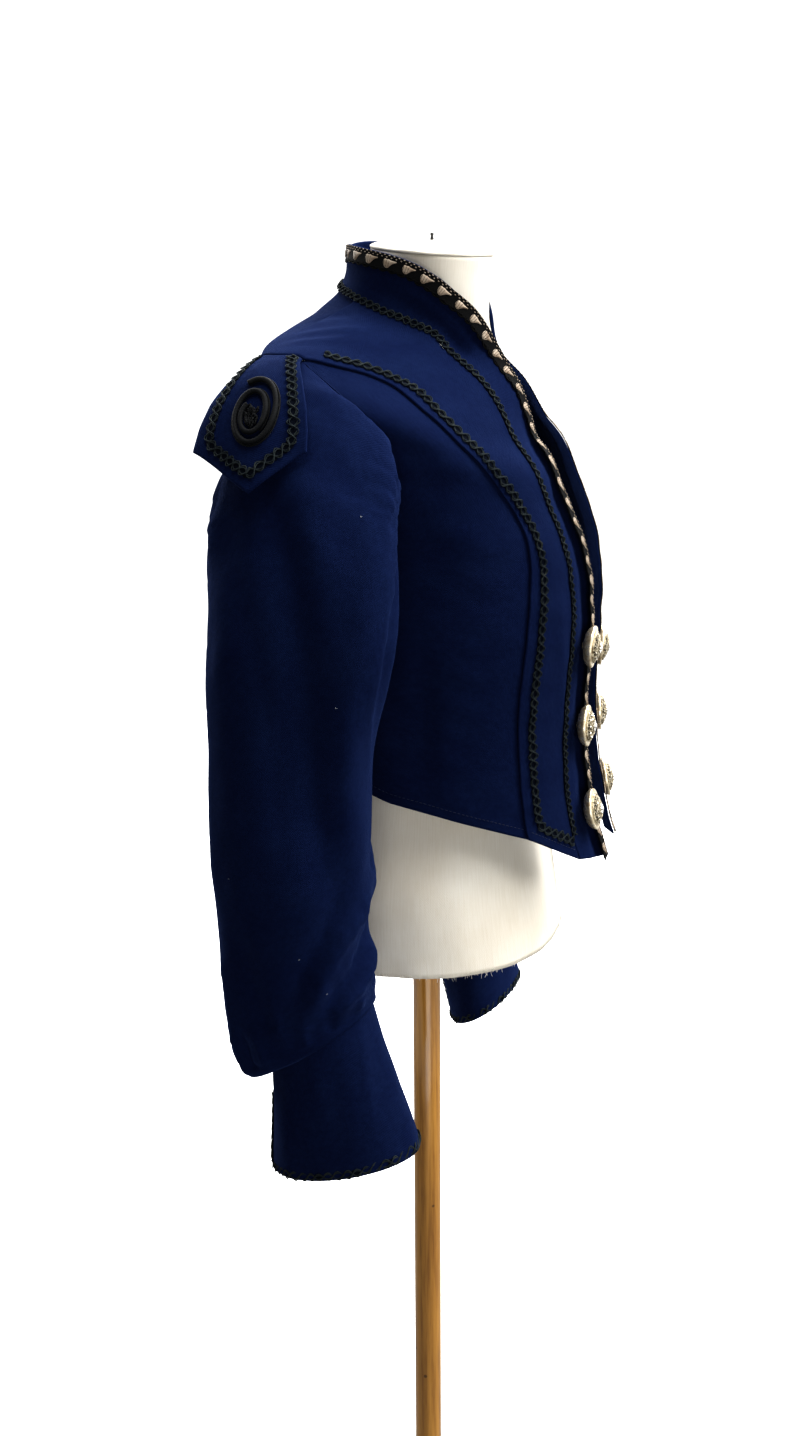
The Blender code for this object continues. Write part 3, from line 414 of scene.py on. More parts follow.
def wave_noise(points, pitch, seed):
    """Smooth noise from -1 to 1 at places in space, as a sum of crossing waves of about one pitch."""
    draw = np.random.default_rng(seed)
    total = np.zeros(points.shape[:-1])
    for _ in range(9):
        way = unit(draw.normal(size=3)) * (math.tau / (pitch * draw.uniform(0.7, 1.6)))
        total += np.sin(points @ way + draw.uniform(0.0, math.tau))
    return total / 4.5


# Threads of a plain weave in the cloth's own metres, shared by the calico, wool and ribbon
weave, weave_in, weave_out = group_tree(
    "plain_weave",
    (("Vector", "NodeSocketVector", (0.0, 0.0, 0.0)), ("Threads", "NodeSocketFloat", 1200.0),
     ("Unevenness", "NodeSocketFloat", 0.3)),
    (("Height", "NodeSocketFloat"), ("Slub", "NodeSocketFloat")),
)
weave_place = weave_in.outputs["Vector"]
wobble = add_node(weave, "ShaderNodeTexNoise", {"Vector": weave_place, "Scale": 260.0, "Detail": 2.0})
shift = {0: wobble.outputs["Color"], "Scale": 0.0012}
shifted = add_node(weave, "ShaderNodeVectorMath", shift, operation="SCALE")
threads = add_node(weave, "ShaderNodeVectorMath", {0: weave_place, 1: shifted.outputs[0]})
axes = add_node(weave, "ShaderNodeSeparateXYZ", {"Vector": threads.outputs[0]})
turn_rate = math_node(weave, "MULTIPLY", weave_in.outputs["Threads"], math.pi)
warp, weft = (
    math_node(weave, "SINE", math_node(weave, "MULTIPLY", axes.outputs[axis], turn_rate)) for axis in "XY"
)
crossing = math_node(weave, "MULTIPLY_ADD", math_node(weave, "MULTIPLY", warp, weft), 0.5, 0.5)
slub = noise(weave, scaled(weave, weave_place, (900.0, 40.0, 1.0)), 1.0, 3.0)
uneven = math_node(weave, "MULTIPLY", slub, weave_in.outputs["Unevenness"])
weave.links.new(math_node(weave, "ADD", crossing, uneven), weave_out.inputs["Height"])
weave.links.new(slub, weave_out.inputs["Slub"])


def cloth_uv(tree):
    """Places on the flat cloth, in metres."""
    return add_node(tree, "ShaderNodeUVMap", uv_map="cloth").outputs["UV"]


def woven(tree, place, thread_rate, unevenness):
    """The weave at a place: its height and its slubs."""
    inputs = {"Vector": place, "Threads": thread_rate, "Unevenness": unevenness}
    return add_node(tree, "ShaderNodeGroup", inputs, node_tree=weave).outputs


calico, tree, shader = new_material("ivory_calico", Roughness=0.92, Sheen_Weight=0.15, Sheen_Roughness=0.5)
place = cloth_uv(tree)
threads = woven(tree, place, 1500.0, 0.8)
stain = noise(tree, place, 9.0, 5.0)
stained = ramp(tree, stain, ((0.30, (0.80, 0.735, 0.620)), (0.62, (0.885, 0.845, 0.755))))
slub_tone = ramp(tree, threads["Slub"], ((0.35, (0.955, 0.945, 0.925)), (0.65, (1.0, 1.0, 1.0))))
calico_colour = mix_colour(tree, 1.0, stained, slub_tone, blend_type="MULTIPLY")
paint(tree, shader, calico_colour, bump(tree, threads["Height"], 0.0004, 0.5))


def grid_object(name, points, faces, uv, material, weld=False):
    """A mesh object from points, faces and one cloth place, in metres, for each point.

    Weld joins points in the same place, such as along the line where a tube's grid meets itself.
    """
    data = bpy.data.meshes.new(name)
    data.from_pydata(points.tolist(), [], faces)
    data.materials.append(material)
    data.polygons.foreach_set("use_smooth", [True] * len(data.polygons))
    layer = data.uv_layers.new(name="cloth")
    corners = np.empty(len(data.loops), int)
    data.loops.foreach_get("vertex_index", corners)
    layer.data.foreach_set("uv", uv[corners].astype(np.float32).ravel())
    data.update()
    if weld:
        mesh = bmesh.new()
        mesh.from_mesh(data)
        bmesh.ops.remove_doubles(mesh, verts=mesh.verts, dist=1e-7)
        mesh.to_mesh(data)
        mesh.free()
    return place_object(name, data)


def arc_length(points):
    """Distance along a line of points, from its start."""
    return np.concatenate(((0.0,), np.cumsum(np.linalg.norm(np.diff(points, axis=0), axis=1))))


def cloth_places(points):
    """Distances across and along a grid of points, as places on the flat cloth."""
    across = np.linalg.norm(np.diff(points, axis=1), axis=-1).mean(axis=0)
    along = np.linalg.norm(np.diff(points, axis=0), axis=-1).mean(axis=1)
    u, v = (np.concatenate(((0.0,), np.cumsum(steps))) for steps in (across, along))
    return np.stack(np.meshgrid(u, v), -1)


def grid_quads(index):
    """The four corners of each face of a grid of point numbers."""
    return np.stack((index[:-1, :-1], index[:-1, 1:], index[1:, 1:], index[1:, :-1]), -1).reshape(-1, 4)


places = np.linspace(0.0, len(FORM_RINGS) - 1.0, FORM_ROWS)
angles = np.linspace(0.0, 360.0, FORM_COLUMNS + 1)
ring_grid, angle_grid = np.meshgrid(places, angles, indexing="ij")
skin = ring_point(FORM_RINGS, ring_grid, angle_grid)
crease = wave_noise(skin * (1.0, 1.0, 0.35), 0.040, 5) * FORM_CREASE
near_hem = np.exp(-((skin[..., 2] - FORM_HEM_HEIGHT) / 0.012) ** 2)
hem_pull = near_hem * wave_noise(skin, 0.018, 6) * FORM_HEM_PULL
skin = skin + ring_normal(FORM_RINGS, ring_grid, angle_grid) * (crease + hem_pull - FORM_CREASE)[..., None]
flat = cloth_places(skin)
count = FORM_ROWS * (FORM_COLUMNS + 1)
index = np.arange(count).reshape(FORM_ROWS, FORM_COLUMNS + 1)
faces = grid_quads(index)[:, (1, 0, 3, 2)].tolist()
for centre, row, way in ((count, 0, 1), (count + 1, FORM_ROWS - 1, -1)):
    ring = index[row, :-1].tolist()
    for pair in zip(ring, ring[1:] + ring[:1]):
        faces.append((centre, *pair[::way]))
points = np.concatenate((skin.reshape(-1, 3), [skin[row, :-1].mean(axis=0) for row in (0, -1)]))
uv = np.concatenate((flat.reshape(-1, 2), [(0.0, 0.0), (0.3, 0.3)]))
torso = grid_object("form_torso_padded", points, faces, uv, calico)
stand_for(torso, "form_torso", "form_calico")


TUBE_GUIDE = (0.31, 0.17, 0.93)
TUBE_CLOTH = 0.006


def tubes(name, paths, radii, sides, material):
    """Round threads along several paths in one object; radii holds one value or a list for each."""
    points = []
    faces = []
    flat = []
    start = 0
    turns = np.linspace(0.0, math.tau, sides, endpoint=False)[:, None]
    for path, radius in zip(paths, radii):
        path = np.asarray(path, float)
        along = unit(np.gradient(path, axis=0))
        side_way = unit(np.cross(along, TUBE_GUIDE))
        up_way = np.cross(side_way, along)
        reach = np.broadcast_to(np.asarray(radius, float), (len(path),))[:, None, None]
        ring = side_way[:, None] * np.cos(turns) + up_way[:, None] * np.sin(turns)
        points.append((path[:, None] + ring * reach).reshape(-1, 3))
        around = np.broadcast_to(np.arange(sides) / sides * TUBE_CLOTH, (len(path), sides))
        length = np.broadcast_to(arc_length(path)[:, None], around.shape)
        flat.append(np.stack((around, length), -1).reshape(-1, 2))
        index = start + np.arange(len(path) * sides).reshape(len(path), sides)
        faces += grid_quads(np.concatenate((index, index[:, :1]), axis=1))[:, (0, 3, 2, 1)].tolist()
        faces += [index[0].tolist(), index[-1, ::-1].tolist()]
        start += index.size
    return grid_object(name, np.concatenate(points), faces, np.concatenate(flat), material)


# Loose threads and small tufts where the cover is cut off under the form
FRAY_THREADS = 420
FRAY_RING = 0.04
FRAY_ABOVE_HEM = 0.0012
FRAY_LENGTH = (0.0015, 0.0035)
FRAY_TUFTS = 0.005
FRAY_RADIUS = (0.00013, 0.00024)
draw = np.random.default_rng(11)
paths = []
radii = []
for index in range(FRAY_THREADS):
    angle = 360.0 * (index + draw.uniform(-0.4, 0.4)) / FRAY_THREADS
    start = ring_point(FORM_RINGS, FRAY_RING, angle)
    out = ring_normal(FORM_RINGS, FRAY_RING, angle)
    ragged = 0.5 + 0.5 * math.sin(angle * 0.21) * math.sin(angle * 0.083 + 1.0)
    length = draw.uniform(*FRAY_LENGTH) + FRAY_TUFTS * ragged * draw.random() ** 2
    sway = draw.normal(size=3) * 0.25
    path = []
    for share in evenly(5):
        drop = np.array((0.0, 0.0, -length * share)) + sway * length * share ** 1.6
        path.append(start + out * (0.0001 + 0.0004 * share) + drop + (0.0, 0.0, FRAY_ABOVE_HEM))
    paths.append(path)
    radii.append(draw.uniform(*FRAY_RADIUS))
belong("form_calico", tubes("form_hem_fray", paths, radii, 4, calico))

CAP_PROFILE = (
    (0.0, 0.0003), (0.0508, 0.0003), (0.0518, 0.0007), (0.0520, 0.0014), (0.0519, 0.0024), (0.0508, 0.0031),
    (0.0480, 0.0042), (0.0420, 0.0056), (0.0340, 0.0068), (0.0240, 0.0079), (0.0130, 0.0087), (0.0, 0.0090),
)
CAP_CREASES = 9.0
CAP_CREASE_RISE = 0.0003
CAP_EDGE = 0.004
cap_top = FORM_RINGS[-1]
cap = object_from_mesh("form_neck_cap_domed", lathe_mesh(CAP_PROFILE, 96), calico)
cap_uv = cap.data.uv_layers.new(name="cloth")
for loop in cap.data.loops:
    spot = cap.data.vertices[loop.vertex_index].co
    cap_uv.data[loop.index].uv = (spot.x, spot.y)
for vertex in cap.data.vertices:
    rise = CAP_CREASE_RISE * math.sin(CAP_CREASES * math.atan2(vertex.co.y, vertex.co.x))
    vertex.co.z += rise * min(1.0, vertex.co.z / CAP_EDGE)
cap.location = (0.0, cap_top[1], cap_top[0])
cap.rotation_euler = (math.radians(cap_top[2]), 0.0, 0.0)
stand_for(cap, "form_neck_cap", "form_calico")

# Columns: radius, height above the pin's foot
PIN_PROFILE = (
    (0.0, 0.0), (0.0012, 0.0), (0.0015, 0.0004), (0.0011, 0.0022), (0.0010, 0.0034), (0.0014, 0.0044),
    (0.0013, 0.0055), (0.0, 0.0060),
)
PIN_FOOT = 0.0096
pin_profile = [(radius, cap_top[0] + PIN_FOOT + height) for radius, height in PIN_PROFILE]
pin = object_from_mesh("neck_pin_turned", lathe_mesh(pin_profile, 32), enamel)
pin.location = (0.0, cap_top[1], 0.0)
stand_for(pin, "neck_pin", "base_iron")


# Jacket cloth
# Navy wool broadcloth, milled and napped so that its threads hardly show. It looks nearly black
# where it faces away from the light, and pale fibres and lint cling to it.
CLOTH = 0.0020
SEAM_GAP = 0.0003
LAP = CLOTH + SEAM_GAP

wool, tree, shader = new_material(
    "navy_wool", Roughness=0.90, Sheen_Weight=0.20, Sheen_Roughness=0.35, Sheen_Tint=(0.14, 0.22, 0.52, 1.0),
    Specular_IOR_Level=0.03,
)
place = cloth_uv(tree)
nap = noise(tree, place, 2600.0, 3.0)
brushed = noise(tree, place, 26.0, 5.0, 0.6)
faded = noise(tree, place, 7.0, 3.0)
pressed = noise(tree, place, 210.0, 4.0, 0.7)
wool_colour = ramp(tree, brushed, ((0.25, (0.0074, 0.0142, 0.0500)), (0.75, (0.0122, 0.0232, 0.0690))))
faded_share = math_node(tree, "MULTIPLY", faded, 0.35)
wool_colour = mix_colour(tree, faded_share, wool_colour, (0.0092, 0.0166, 0.0600))
pressed_share = ramp(tree, pressed, ((0.38, (0.30,) * 3), (0.62, (0.0,) * 3)))
wool_colour = mix_colour(tree, pressed_share, wool_colour, (0.0045, 0.0090, 0.0336))
fibre_cells = add_node(tree, "ShaderNodeTexVoronoi", {"Vector": place, "Scale": 70.0})
fibre = ramp(tree, fibre_cells.outputs["Distance"], ((0.008, (1.0, 1.0, 1.0)), (0.016, (0.0, 0.0, 0.0))))
wool_colour = mix_colour(tree, math_node(tree, "MULTIPLY", fibre, 0.10), wool_colour, (0.45, 0.47, 0.50))
surface_height = math_node(tree, "MULTIPLY_ADD", nap, 0.8, woven(tree, place, 1300.0, 0.6)["Height"])
surface_height = math_node(tree, "MULTIPLY_ADD", brushed, 1.2, surface_height)
paint(tree, shader, wool_colour, bump(tree, surface_height, 0.0004, 0.55))

# The borders of a grid of points, each with the row or column beside it: columns first, then rows
EVERY = slice(None)
BORDERS = (
    ((EVERY, 0), (EVERY, 1)),
    ((EVERY, -1), (EVERY, -2)),
    ((0, EVERY), (1, EVERY)),
    ((-1, EVERY), (-2, EVERY)),
)


def shell(name, points, normals, low, material, thick=CLOTH, closed=False, round_edge=0.4):
    """A thin wall over a grid of points, with rounded edges; low is how far its inner face stands out."""
    settled = points.copy()
    for edge, beside in BORDERS[2:] + (() if closed else BORDERS[:2]):
        settled[edge] += unit(points[beside] - points[edge]) * thick * round_edge
    if closed:
        grids = (settled, points, normals)
        settled, points, normals = (np.concatenate((grid, grid[:, :1]), axis=1) for grid in grids)
    flat = cloth_places(points)
    outer = settled + normals * (low + thick)
    inner = settled + normals * low
    middle = points + normals * (low + thick / 2.0)
    count = outer.shape[0] * outer.shape[1]
    index = np.arange(count).reshape(outer.shape[:2])
    quads = grid_quads(index)
    outward = np.cross(outer[:-1, 1:] - outer[:-1, :-1], outer[1:, :-1] - outer[:-1, :-1])
    turned = np.sum(outward * normals[:-1, :-1]) < 0.0
    if turned:
        quads = quads[:, (0, 3, 2, 1)]
    faces = quads.tolist() + (quads[:, ::-1] + count).tolist()
    blocks = [outer.reshape(-1, 3), inner.reshape(-1, 3)]
    flat_blocks = [flat.reshape(-1, 2)] * 2
    start = 2 * count
    rims = [index[0], index[-1]] + ([] if closed else [index[:, 0], index[:, -1]])
    for rim, flip in zip(rims, (False, True, True, False)):
        blocks.append(middle.reshape(-1, 3)[rim])
        flat_blocks.append(flat.reshape(-1, 2)[rim])
        mids = np.arange(start, start + len(rim))
        start += len(rim)
        for side_a, side_b in ((rim, mids), (mids, rim + count)):
            edge_faces = np.stack((side_a[1:], side_a[:-1], side_b[:-1], side_b[1:]), -1)
            faces += (edge_faces[:, ::-1] if flip != turned else edge_faces).tolist()
    uv = np.concatenate(flat_blocks)
    return grid_object(name, np.concatenate(blocks), faces, uv, material, weld=closed)


# Jacket body
# Each side is a back, a side front cut out under the arm, a front with its shoulder lapped over
# the curved princess seam, and a band that runs up the front edge and stands round the neck.
# Level rings of the jacket's inner surface, from below the hem to the top of the collar.
# Depths are measured from centre_y along the ring's plane, which tilts down at the front.
# Columns: height, centre_y, tilt, half_width, front, back, round_front, round_back
JACKET_RINGS = np.array((
    (0.880, 0.000, 0.0, 0.147, 0.168, 0.106, 2.3, 2.3),
    (0.960, 0.000, 0.0, 0.140, 0.148, 0.094, 2.3, 2.3),
    (1.040, 0.000, 0.0, 0.140, 0.141, 0.088, 2.3, 2.3),
    (1.120, 0.002, 2.0, 0.147, 0.147, 0.094, 2.3, 2.3),
    (1.190, 0.009, 5.0, 0.153, 0.150, 0.097, 2.3, 2.3),
    (1.250, 0.022, 10.0, 0.162, 0.148, 0.089, 2.3, 2.4),
    (1.293, 0.042, 16.0, 0.172, 0.163, 0.073, 2.3, 2.6),
    (1.330, 0.064, 20.0, 0.174, 0.173, 0.052, 2.2, 2.8),
    (1.350, 0.036, 21.0, 0.116, 0.140, 0.054, 2.1, 2.3),
    (1.3615, 0.006, 22.0, 0.0745, 0.100, 0.0680, 2.2, 2.0),
    (1.382, 0.001, 18.0, 0.0660, 0.083, 0.0635, 2.4, 2.0),
    (1.4165, 0.000, 14.0, 0.0625, 0.0715, 0.0610, 2.4, 2.0),
))

# Lines on the jacket's front, from the hem up. The left front hangs further open at the chest.
# Columns: ring position, then the distance from the middle plane on the wearer's right and left
FRONT_EDGE = np.array((
    (0.40, 0.020, 0.020),
    (0.99, 0.025, 0.025),
    (1.60, 0.026, 0.027),
    (2.37, 0.025, 0.030),
    (3.28, 0.026, 0.034),
    (3.86, 0.030, 0.040),
    (4.80, 0.038, 0.052),
    (5.70, 0.0415, 0.061),
    (6.60, 0.0405, 0.065),
    (7.40, 0.0370, 0.064),
    (8.20, 0.0365, 0.058),
    (9.20, 0.0400, 0.053),
    (10.1, 0.0495, 0.054),
    (10.52, 0.0585, 0.058),
))
BAND_SEAM = np.array((
    (0.52, 0.070, 0.070),
    (0.96, 0.072, 0.072),
    (1.84, 0.071, 0.074),
    (2.74, 0.069, 0.076),
    (3.48, 0.070, 0.079),
    (4.24, 0.074, 0.084),
    (5.17, 0.080, 0.092),
    (6.20, 0.083, 0.099),
    (7.10, 0.082, 0.098),
    (7.80, 0.078, 0.091),
    (8.40, 0.076, 0.078),
    (8.90, 0.073, 0.073),
))
PRINCESS = np.array((
    (0.84, 0.109, 0.109),
    (1.40, 0.109, 0.109),
    (1.94, 0.110, 0.110),
    (2.71, 0.112, 0.112),
    (3.40, 0.111, 0.111),
    (4.07, 0.109, 0.109),
    (4.65, 0.112, 0.112),
    (5.44, 0.125, 0.125),
    (6.45, 0.139, 0.139),
    (7.12, 0.143, 0.143),
))

# How each of those lines goes on over the shoulder or round the neck.
# Columns: ring position, then the angle from the centre front on the right and left
EDGE_ROUND_NECK = np.array((
    (10.74, 77.0, 79.0),
    (10.97, 98.0, 99.0),
    (10.88, 142.0, 140.0),
    (10.68, 180.0, 180.0),
))
SEAM_ROUND_NECK = np.array((
    (9.25, 79.0, 82.0),
    (9.25, 101.0, 102.0),
    (9.15, 131.0, 131.0),
    (9.15, 180.0, 180.0),
))
PRINCESS_TO_TAB = np.array((
    (7.48, 68.0, 68.0),
    (7.54, 77.0, 77.0),
    (7.48, 86.0, 86.0),
    (7.36, 95.0, 95.0),
))

# The armhole, from its lowest point forward and up to the shoulder, then down the back. The tab
# starts and ends at the rows named below it. The two seams stay at one angle.
# Columns of this table and the next two: ring position, angle from the centre front
ARMHOLE = np.array((
    (4.00, 107.0),
    (4.25, 92.0),
    (4.85, 83.0),
    (5.55, 78.0),
    (6.30, 75.5),
    (6.95, 80.0),
    (7.36, 95.0),
    (7.22, 112.0),
    (6.95, 131.0),
    (6.40, 134.0),
    (5.75, 132.0),
    (4.95, 128.0),
    (4.30, 120.0),
))
TAB_START = 6
TAB_END = 8

SIDE_SEAM = np.array([(ring, 107.0) for ring in (1.42, 2.40, 3.30, 4.00)])
CENTRE_BACK = np.array([(ring, 180.0) for ring in (1.30, 3.20, 5.40, 7.40, 9.10)])


def out_angle(ring, out):
    """The angle at which a ring's front half stands a given distance from the middle plane."""
    row = smooth_rows(JACKET_RINGS, ring)
    share = np.clip(out / row[..., 3], 0.0, 1.0)
    return np.degrees(np.arcsin(share ** (row[..., 6] / 2.0)))


def front_line(table, end_rows, side):
    """A line's ring and angle on one side: the part down the front, then the part that goes on."""
    column = 1 if side == "right" else 2
    down = smooth_rows(table[:, (0, column)], np.linspace(0.0, len(table) - 1.0, 80))
    down[:, 1] = out_angle(down[:, 0], down[:, 1])
    rest = np.concatenate((down[-1:], end_rows[:, (0, column)]))
    return down, smooth_rows(rest, np.linspace(0.0, len(rest) - 1.0, 40))


def placed(line, count, shares=None, steps=None):
    """Ring and angle along a line's table, at shares of its cloth length or at steps, then evenly."""
    fine = smooth_rows(line, np.linspace(0.0, len(line) - 1.0, count))
    length = arc_length(ring_point(JACKET_RINGS, fine[:, 0], fine[:, 1]))
    wanted = np.asarray(shares) * length[-1] if steps is None else np.concatenate((
        steps, np.linspace(steps[-1], length[-1], FRONT_ROWS + 1)[1:],
    ))
    return read_along(wanted, length, fine)


def read_along(wanted, length, values):
    """Rows of values read at wanted distances; length gives each row's own distance."""
    return np.stack([np.interp(wanted, length, column) for column in values.T], -1)


def spaced(line, shares):
    return placed(line, 400, shares=shares)


def even_line(line, rows):
    return spaced(line, evenly(rows + 1))


def armhole_line(start, end):
    """Part of the armhole, between two rows of its table that may run past the last row."""
    wrapped = np.concatenate((ARMHOLE, ARMHOLE, ARMHOLE))
    rows = len(ARMHOLE)
    return smooth_rows(wrapped, np.linspace(start + rows, end + rows, 120))


def strip(first, second, fractions):
    """Ring and angle over a strip of cloth between two lines, at the fractions of its width."""
    return first[:, None] + (second - first)[:, None] * fractions[:, None]


def hem_spaced(line):
    """Places along a front line, with close rows at the hem."""
    return placed(line, 600, steps=HEM_STEPS)


# Creases worn into the cloth, mirrored to the other side at the strength given last.
# Columns: start ring, start angle, end ring, end angle, half width, rise, other side's share
BODY_CREASES = np.array((
    (2.95, 81.0, 1.30, 82.0, 0.0085, -0.0022, 0.8),
    (3.10, 76.0, 1.60, 75.0, 0.0120, 0.0012, 0.8),
    (4.30, 93.0, 2.20, 90.0, 0.0110, -0.0018, 1.0),
    (6.20, 72.0, 5.00, 62.0, 0.0130, -0.0016, 0.7),
    (6.90, 74.0, 5.60, 50.0, 0.0160, 0.0014, 0.9),
    (4.90, 79.0, 4.10, 56.0, 0.0150, 0.0014, 0.6),
    (3.40, 66.0, 2.10, 70.0, 0.0160, 0.0013, 1.1),
    (7.60, 126.0, 8.45, 99.0, 0.0055, 0.0015, 0.7),
    (7.45, 118.0, 8.05, 96.0, 0.0050, 0.0013, 1.0),
    (7.90, 140.0, 8.70, 118.0, 0.0070, -0.0014, 0.8),
    (9.85, 168.0, 10.05, 100.0, 0.0075, -0.0034, 0.9),
    (10.05, 100.0, 9.65, 73.0, 0.0070, -0.0042, 1.0),
    (9.65, 73.0, 8.85, 56.0, 0.0065, -0.0034, 0.8),
    (3.60, 31.0, 1.60, 26.0, 0.0070, 0.0010, 0.6),
    (5.90, 140.0, 3.60, 150.0, 0.0150, -0.0020, 0.8),
    (5.30, 125.0, 3.20, 132.0, 0.0130, 0.0018, 1.0),
    (6.80, 150.0, 4.60, 168.0, 0.0160, 0.0016, 0.7),
    (3.90, 118.0, 2.20, 124.0, 0.0120, -0.0018, 0.9),
    (2.60, 140.0, 1.35, 146.0, 0.0140, 0.0016, 0.7),
    (2.40, 160.0, 1.30, 168.0, 0.0130, -0.0014, 1.0),
))
RIPPLE = 0.00055

# Under its ribbon the lower front edge is cut back and rolls outward, with a dip behind it. The
# left front's upper edge is cut a little further back and sinks towards the neck.
ROLL_OUT = 0.0036
ROLL_DIP = 0.0020
ROLL_WIDTH = 0.0140
ROLL_TOP_RING = 8.2
ROLL_FADE_RINGS = 2.2
ROLL_CUT = 0.0060
LEFT_SINK = 0.0078
LEFT_SINK_RING = 9.2
LEFT_SINK_RINGS = 1.3
LEFT_SINK_WIDTH = 0.038
LEFT_CUT_DEGREES = 4.5
LEFT_CUT_RINGS = 1.2
ROLLED_EDGE = FRONT_EDGE.copy()
ROLLED_EDGE[:7, 1:] += ROLL_CUT


def smooth_step(value):
    held = np.clip(value, 0.0, 1.0)
    return held * held * (3.0 - 2.0 * held)


def bell(value, width):
    """1 in the middle, falling smoothly to 0 past the width."""
    return np.exp(-((value / width) ** 2))


def edge_roll(places, flat, side):
    """How far the cloth near the front edge is lifted by its roll, or sunk on the left at the neck."""
    down = front_line(ROLLED_EDGE, EDGE_ROUND_NECK, side)[0]
    rings = places[..., 0]
    edge = ring_point(JACKET_RINGS, rings, np.interp(rings, down[:, 0], down[:, 1]))
    away = np.linalg.norm(flat - edge, axis=-1)
    rise = (ROLL_OUT + ROLL_DIP) * np.clip(1.0 - away / ROLL_WIDTH, 0.0, 1.0)
    roll = rise - ROLL_DIP * (1.0 - smooth_step(away / ROLL_WIDTH - 1.0))
    roll = roll * smooth_step((ROLL_TOP_RING - rings) / ROLL_FADE_RINGS)
    if side == "left":
        roll -= LEFT_SINK * bell(rings - LEFT_SINK_RING, LEFT_SINK_RINGS) * bell(away, LEFT_SINK_WIDTH)
    return roll


def crease_height(points, starts, ends, widths, rises):
    """How far straight creases between pairs of places lift the points of a surface."""
    height = np.zeros(points.shape[:-1])
    for start, end, width, rise in zip(starts, ends, widths, rises):
        span = end - start
        along = np.sum((points - start) * span, axis=-1) / np.sum(span * span)
        held = np.clip(along, 0.0, 1.0)
        away = np.linalg.norm(points - start - held[..., None] * span, axis=-1)
        fade = np.clip(held * (1.0 - held) * 5.0, 0.0, 1.0)
        height += rise * (0.25 + 0.75 * fade) * bell(away, width)
    return height


def jacket_point(places, height, side):
    """Places on the creased jacket, at a height above its inner surface, and their directions."""
    flat = ring_point(JACKET_RINGS, places[..., 0], places[..., 1])
    normals = ring_normal(JACKET_RINGS, places[..., 0], places[..., 1])
    share = 1.0 if side == "right" else BODY_CREASES[:, 6]
    starts = ring_point(JACKET_RINGS, BODY_CREASES[:, 0], BODY_CREASES[:, 1])
    ends = ring_point(JACKET_RINGS, BODY_CREASES[:, 2], BODY_CREASES[:, 3])
    lift = crease_height(flat, starts, ends, BODY_CREASES[:, 4], BODY_CREASES[:, 5] * share)
    lift += wave_noise(flat + (0.0 if side == "right" else 3.0), 0.028, 21) * RIPPLE
    lift += edge_roll(places, flat, side)
    return mirror_side(flat + normals * (lift + height)[..., None], side), mirror_side(normals, side)


def mirror_side(points, side):
    """Points of the wearer's right, moved to the side asked for."""
    return points * np.array((SIDES[side], 1.0, 1.0))


def jacket_panel(places, side, trims):
    """A cut piece's points, each edge drawn in by a trim: first and last column, then row."""
    points, normals = jacket_point(places, 0.0, side)
    moved = points.copy()
    for (edge, beside), trim in zip(BORDERS, trims):
        moved[edge] += unit(points[beside] - points[edge]) * trim
    return moved, normals


def cut_piece(node, points, normals, low, closed=False):
    """A wall of wool over a grid, in a CAD node's place."""
    piece = shell(node + "_cloth", points, normals, low, wool, closed=closed)
    stand_for(piece, node, "navy_wool")


HEM_STEPS = (0.0, 0.002, 0.004, 0.008, 0.013, 0.018)
FRONT_ROWS = 120
SHOULDER_ROWS = 32
FRONT_COLUMNS = 34
BAND_COLUMNS = 18
SIDE_COLUMNS = 29
BACK_COLUMNS = 43
SIDE_SEAM_ROWS = 60
ARMHOLE_BACK_ROWS = 60
NECK_ROWS = 36
SEAM_TURN = 14


def front_places(side):
    """The front with its shoulder, between the band seam and the curved princess line."""
    down_seam, round_neck = front_line(BAND_SEAM, SEAM_ROUND_NECK[:-1], side)
    down_princess, to_corner = front_line(PRINCESS, PRINCESS_TO_TAB, side)
    low_seam = np.concatenate((down_seam, round_neck[1:SEAM_TURN]))
    low_outer = np.concatenate((down_princess, to_corner[1:]))
    shares = evenly(SHOULDER_ROWS + 1)
    seam = np.concatenate((hem_spaced(low_seam), spaced(round_neck[SEAM_TURN - 1:], shares)[1:]))
    outer = np.concatenate((hem_spaced(low_outer), spaced(armhole_line(TAB_START, TAB_END), shares)[1:]))
    return strip(seam, outer, evenly(FRONT_COLUMNS + 1))


def band_places(side, front):
    """The band, between the rolled front edge and the seam, and on round the neck."""
    cut_edge = ROLLED_EDGE.copy()
    cut_edge[7, 1:] += ROLL_CUT / 2.0
    edge_line = np.concatenate(front_line(cut_edge, EDGE_ROUND_NECK, side))
    if side == "left":
        edge_line[:, 1] += LEFT_CUT_DEGREES * bell(edge_line[:, 0] - LEFT_SINK_RING, LEFT_CUT_RINGS)
    seam = np.concatenate((front[:, 0], even_line(SEAM_ROUND_NECK[-2:, :2], NECK_ROWS)[1:]))
    length = arc_length(ring_point(JACKET_RINGS, seam[:, 0], seam[:, 1]))
    return strip(spaced(edge_line, length / length[-1]), seam, evenly(BAND_COLUMNS + 1))


def side_front_places(front):
    """The piece under the arm, tucked below the front's edge."""
    rows = FRONT_ROWS + len(HEM_STEPS)
    outer = np.concatenate((
        even_line(SIDE_SEAM, SIDE_SEAM_ROWS),
        spaced(armhole_line(0, TAB_START), evenly(rows - SIDE_SEAM_ROWS))[1:],
    ))
    tuck = strip(front[:rows, -4], front[:rows, -1], evenly(5)[:-1])
    panel = strip(front[:rows, -1], outer, evenly(SIDE_COLUMNS + 1))
    return np.concatenate((tuck, panel), axis=1)


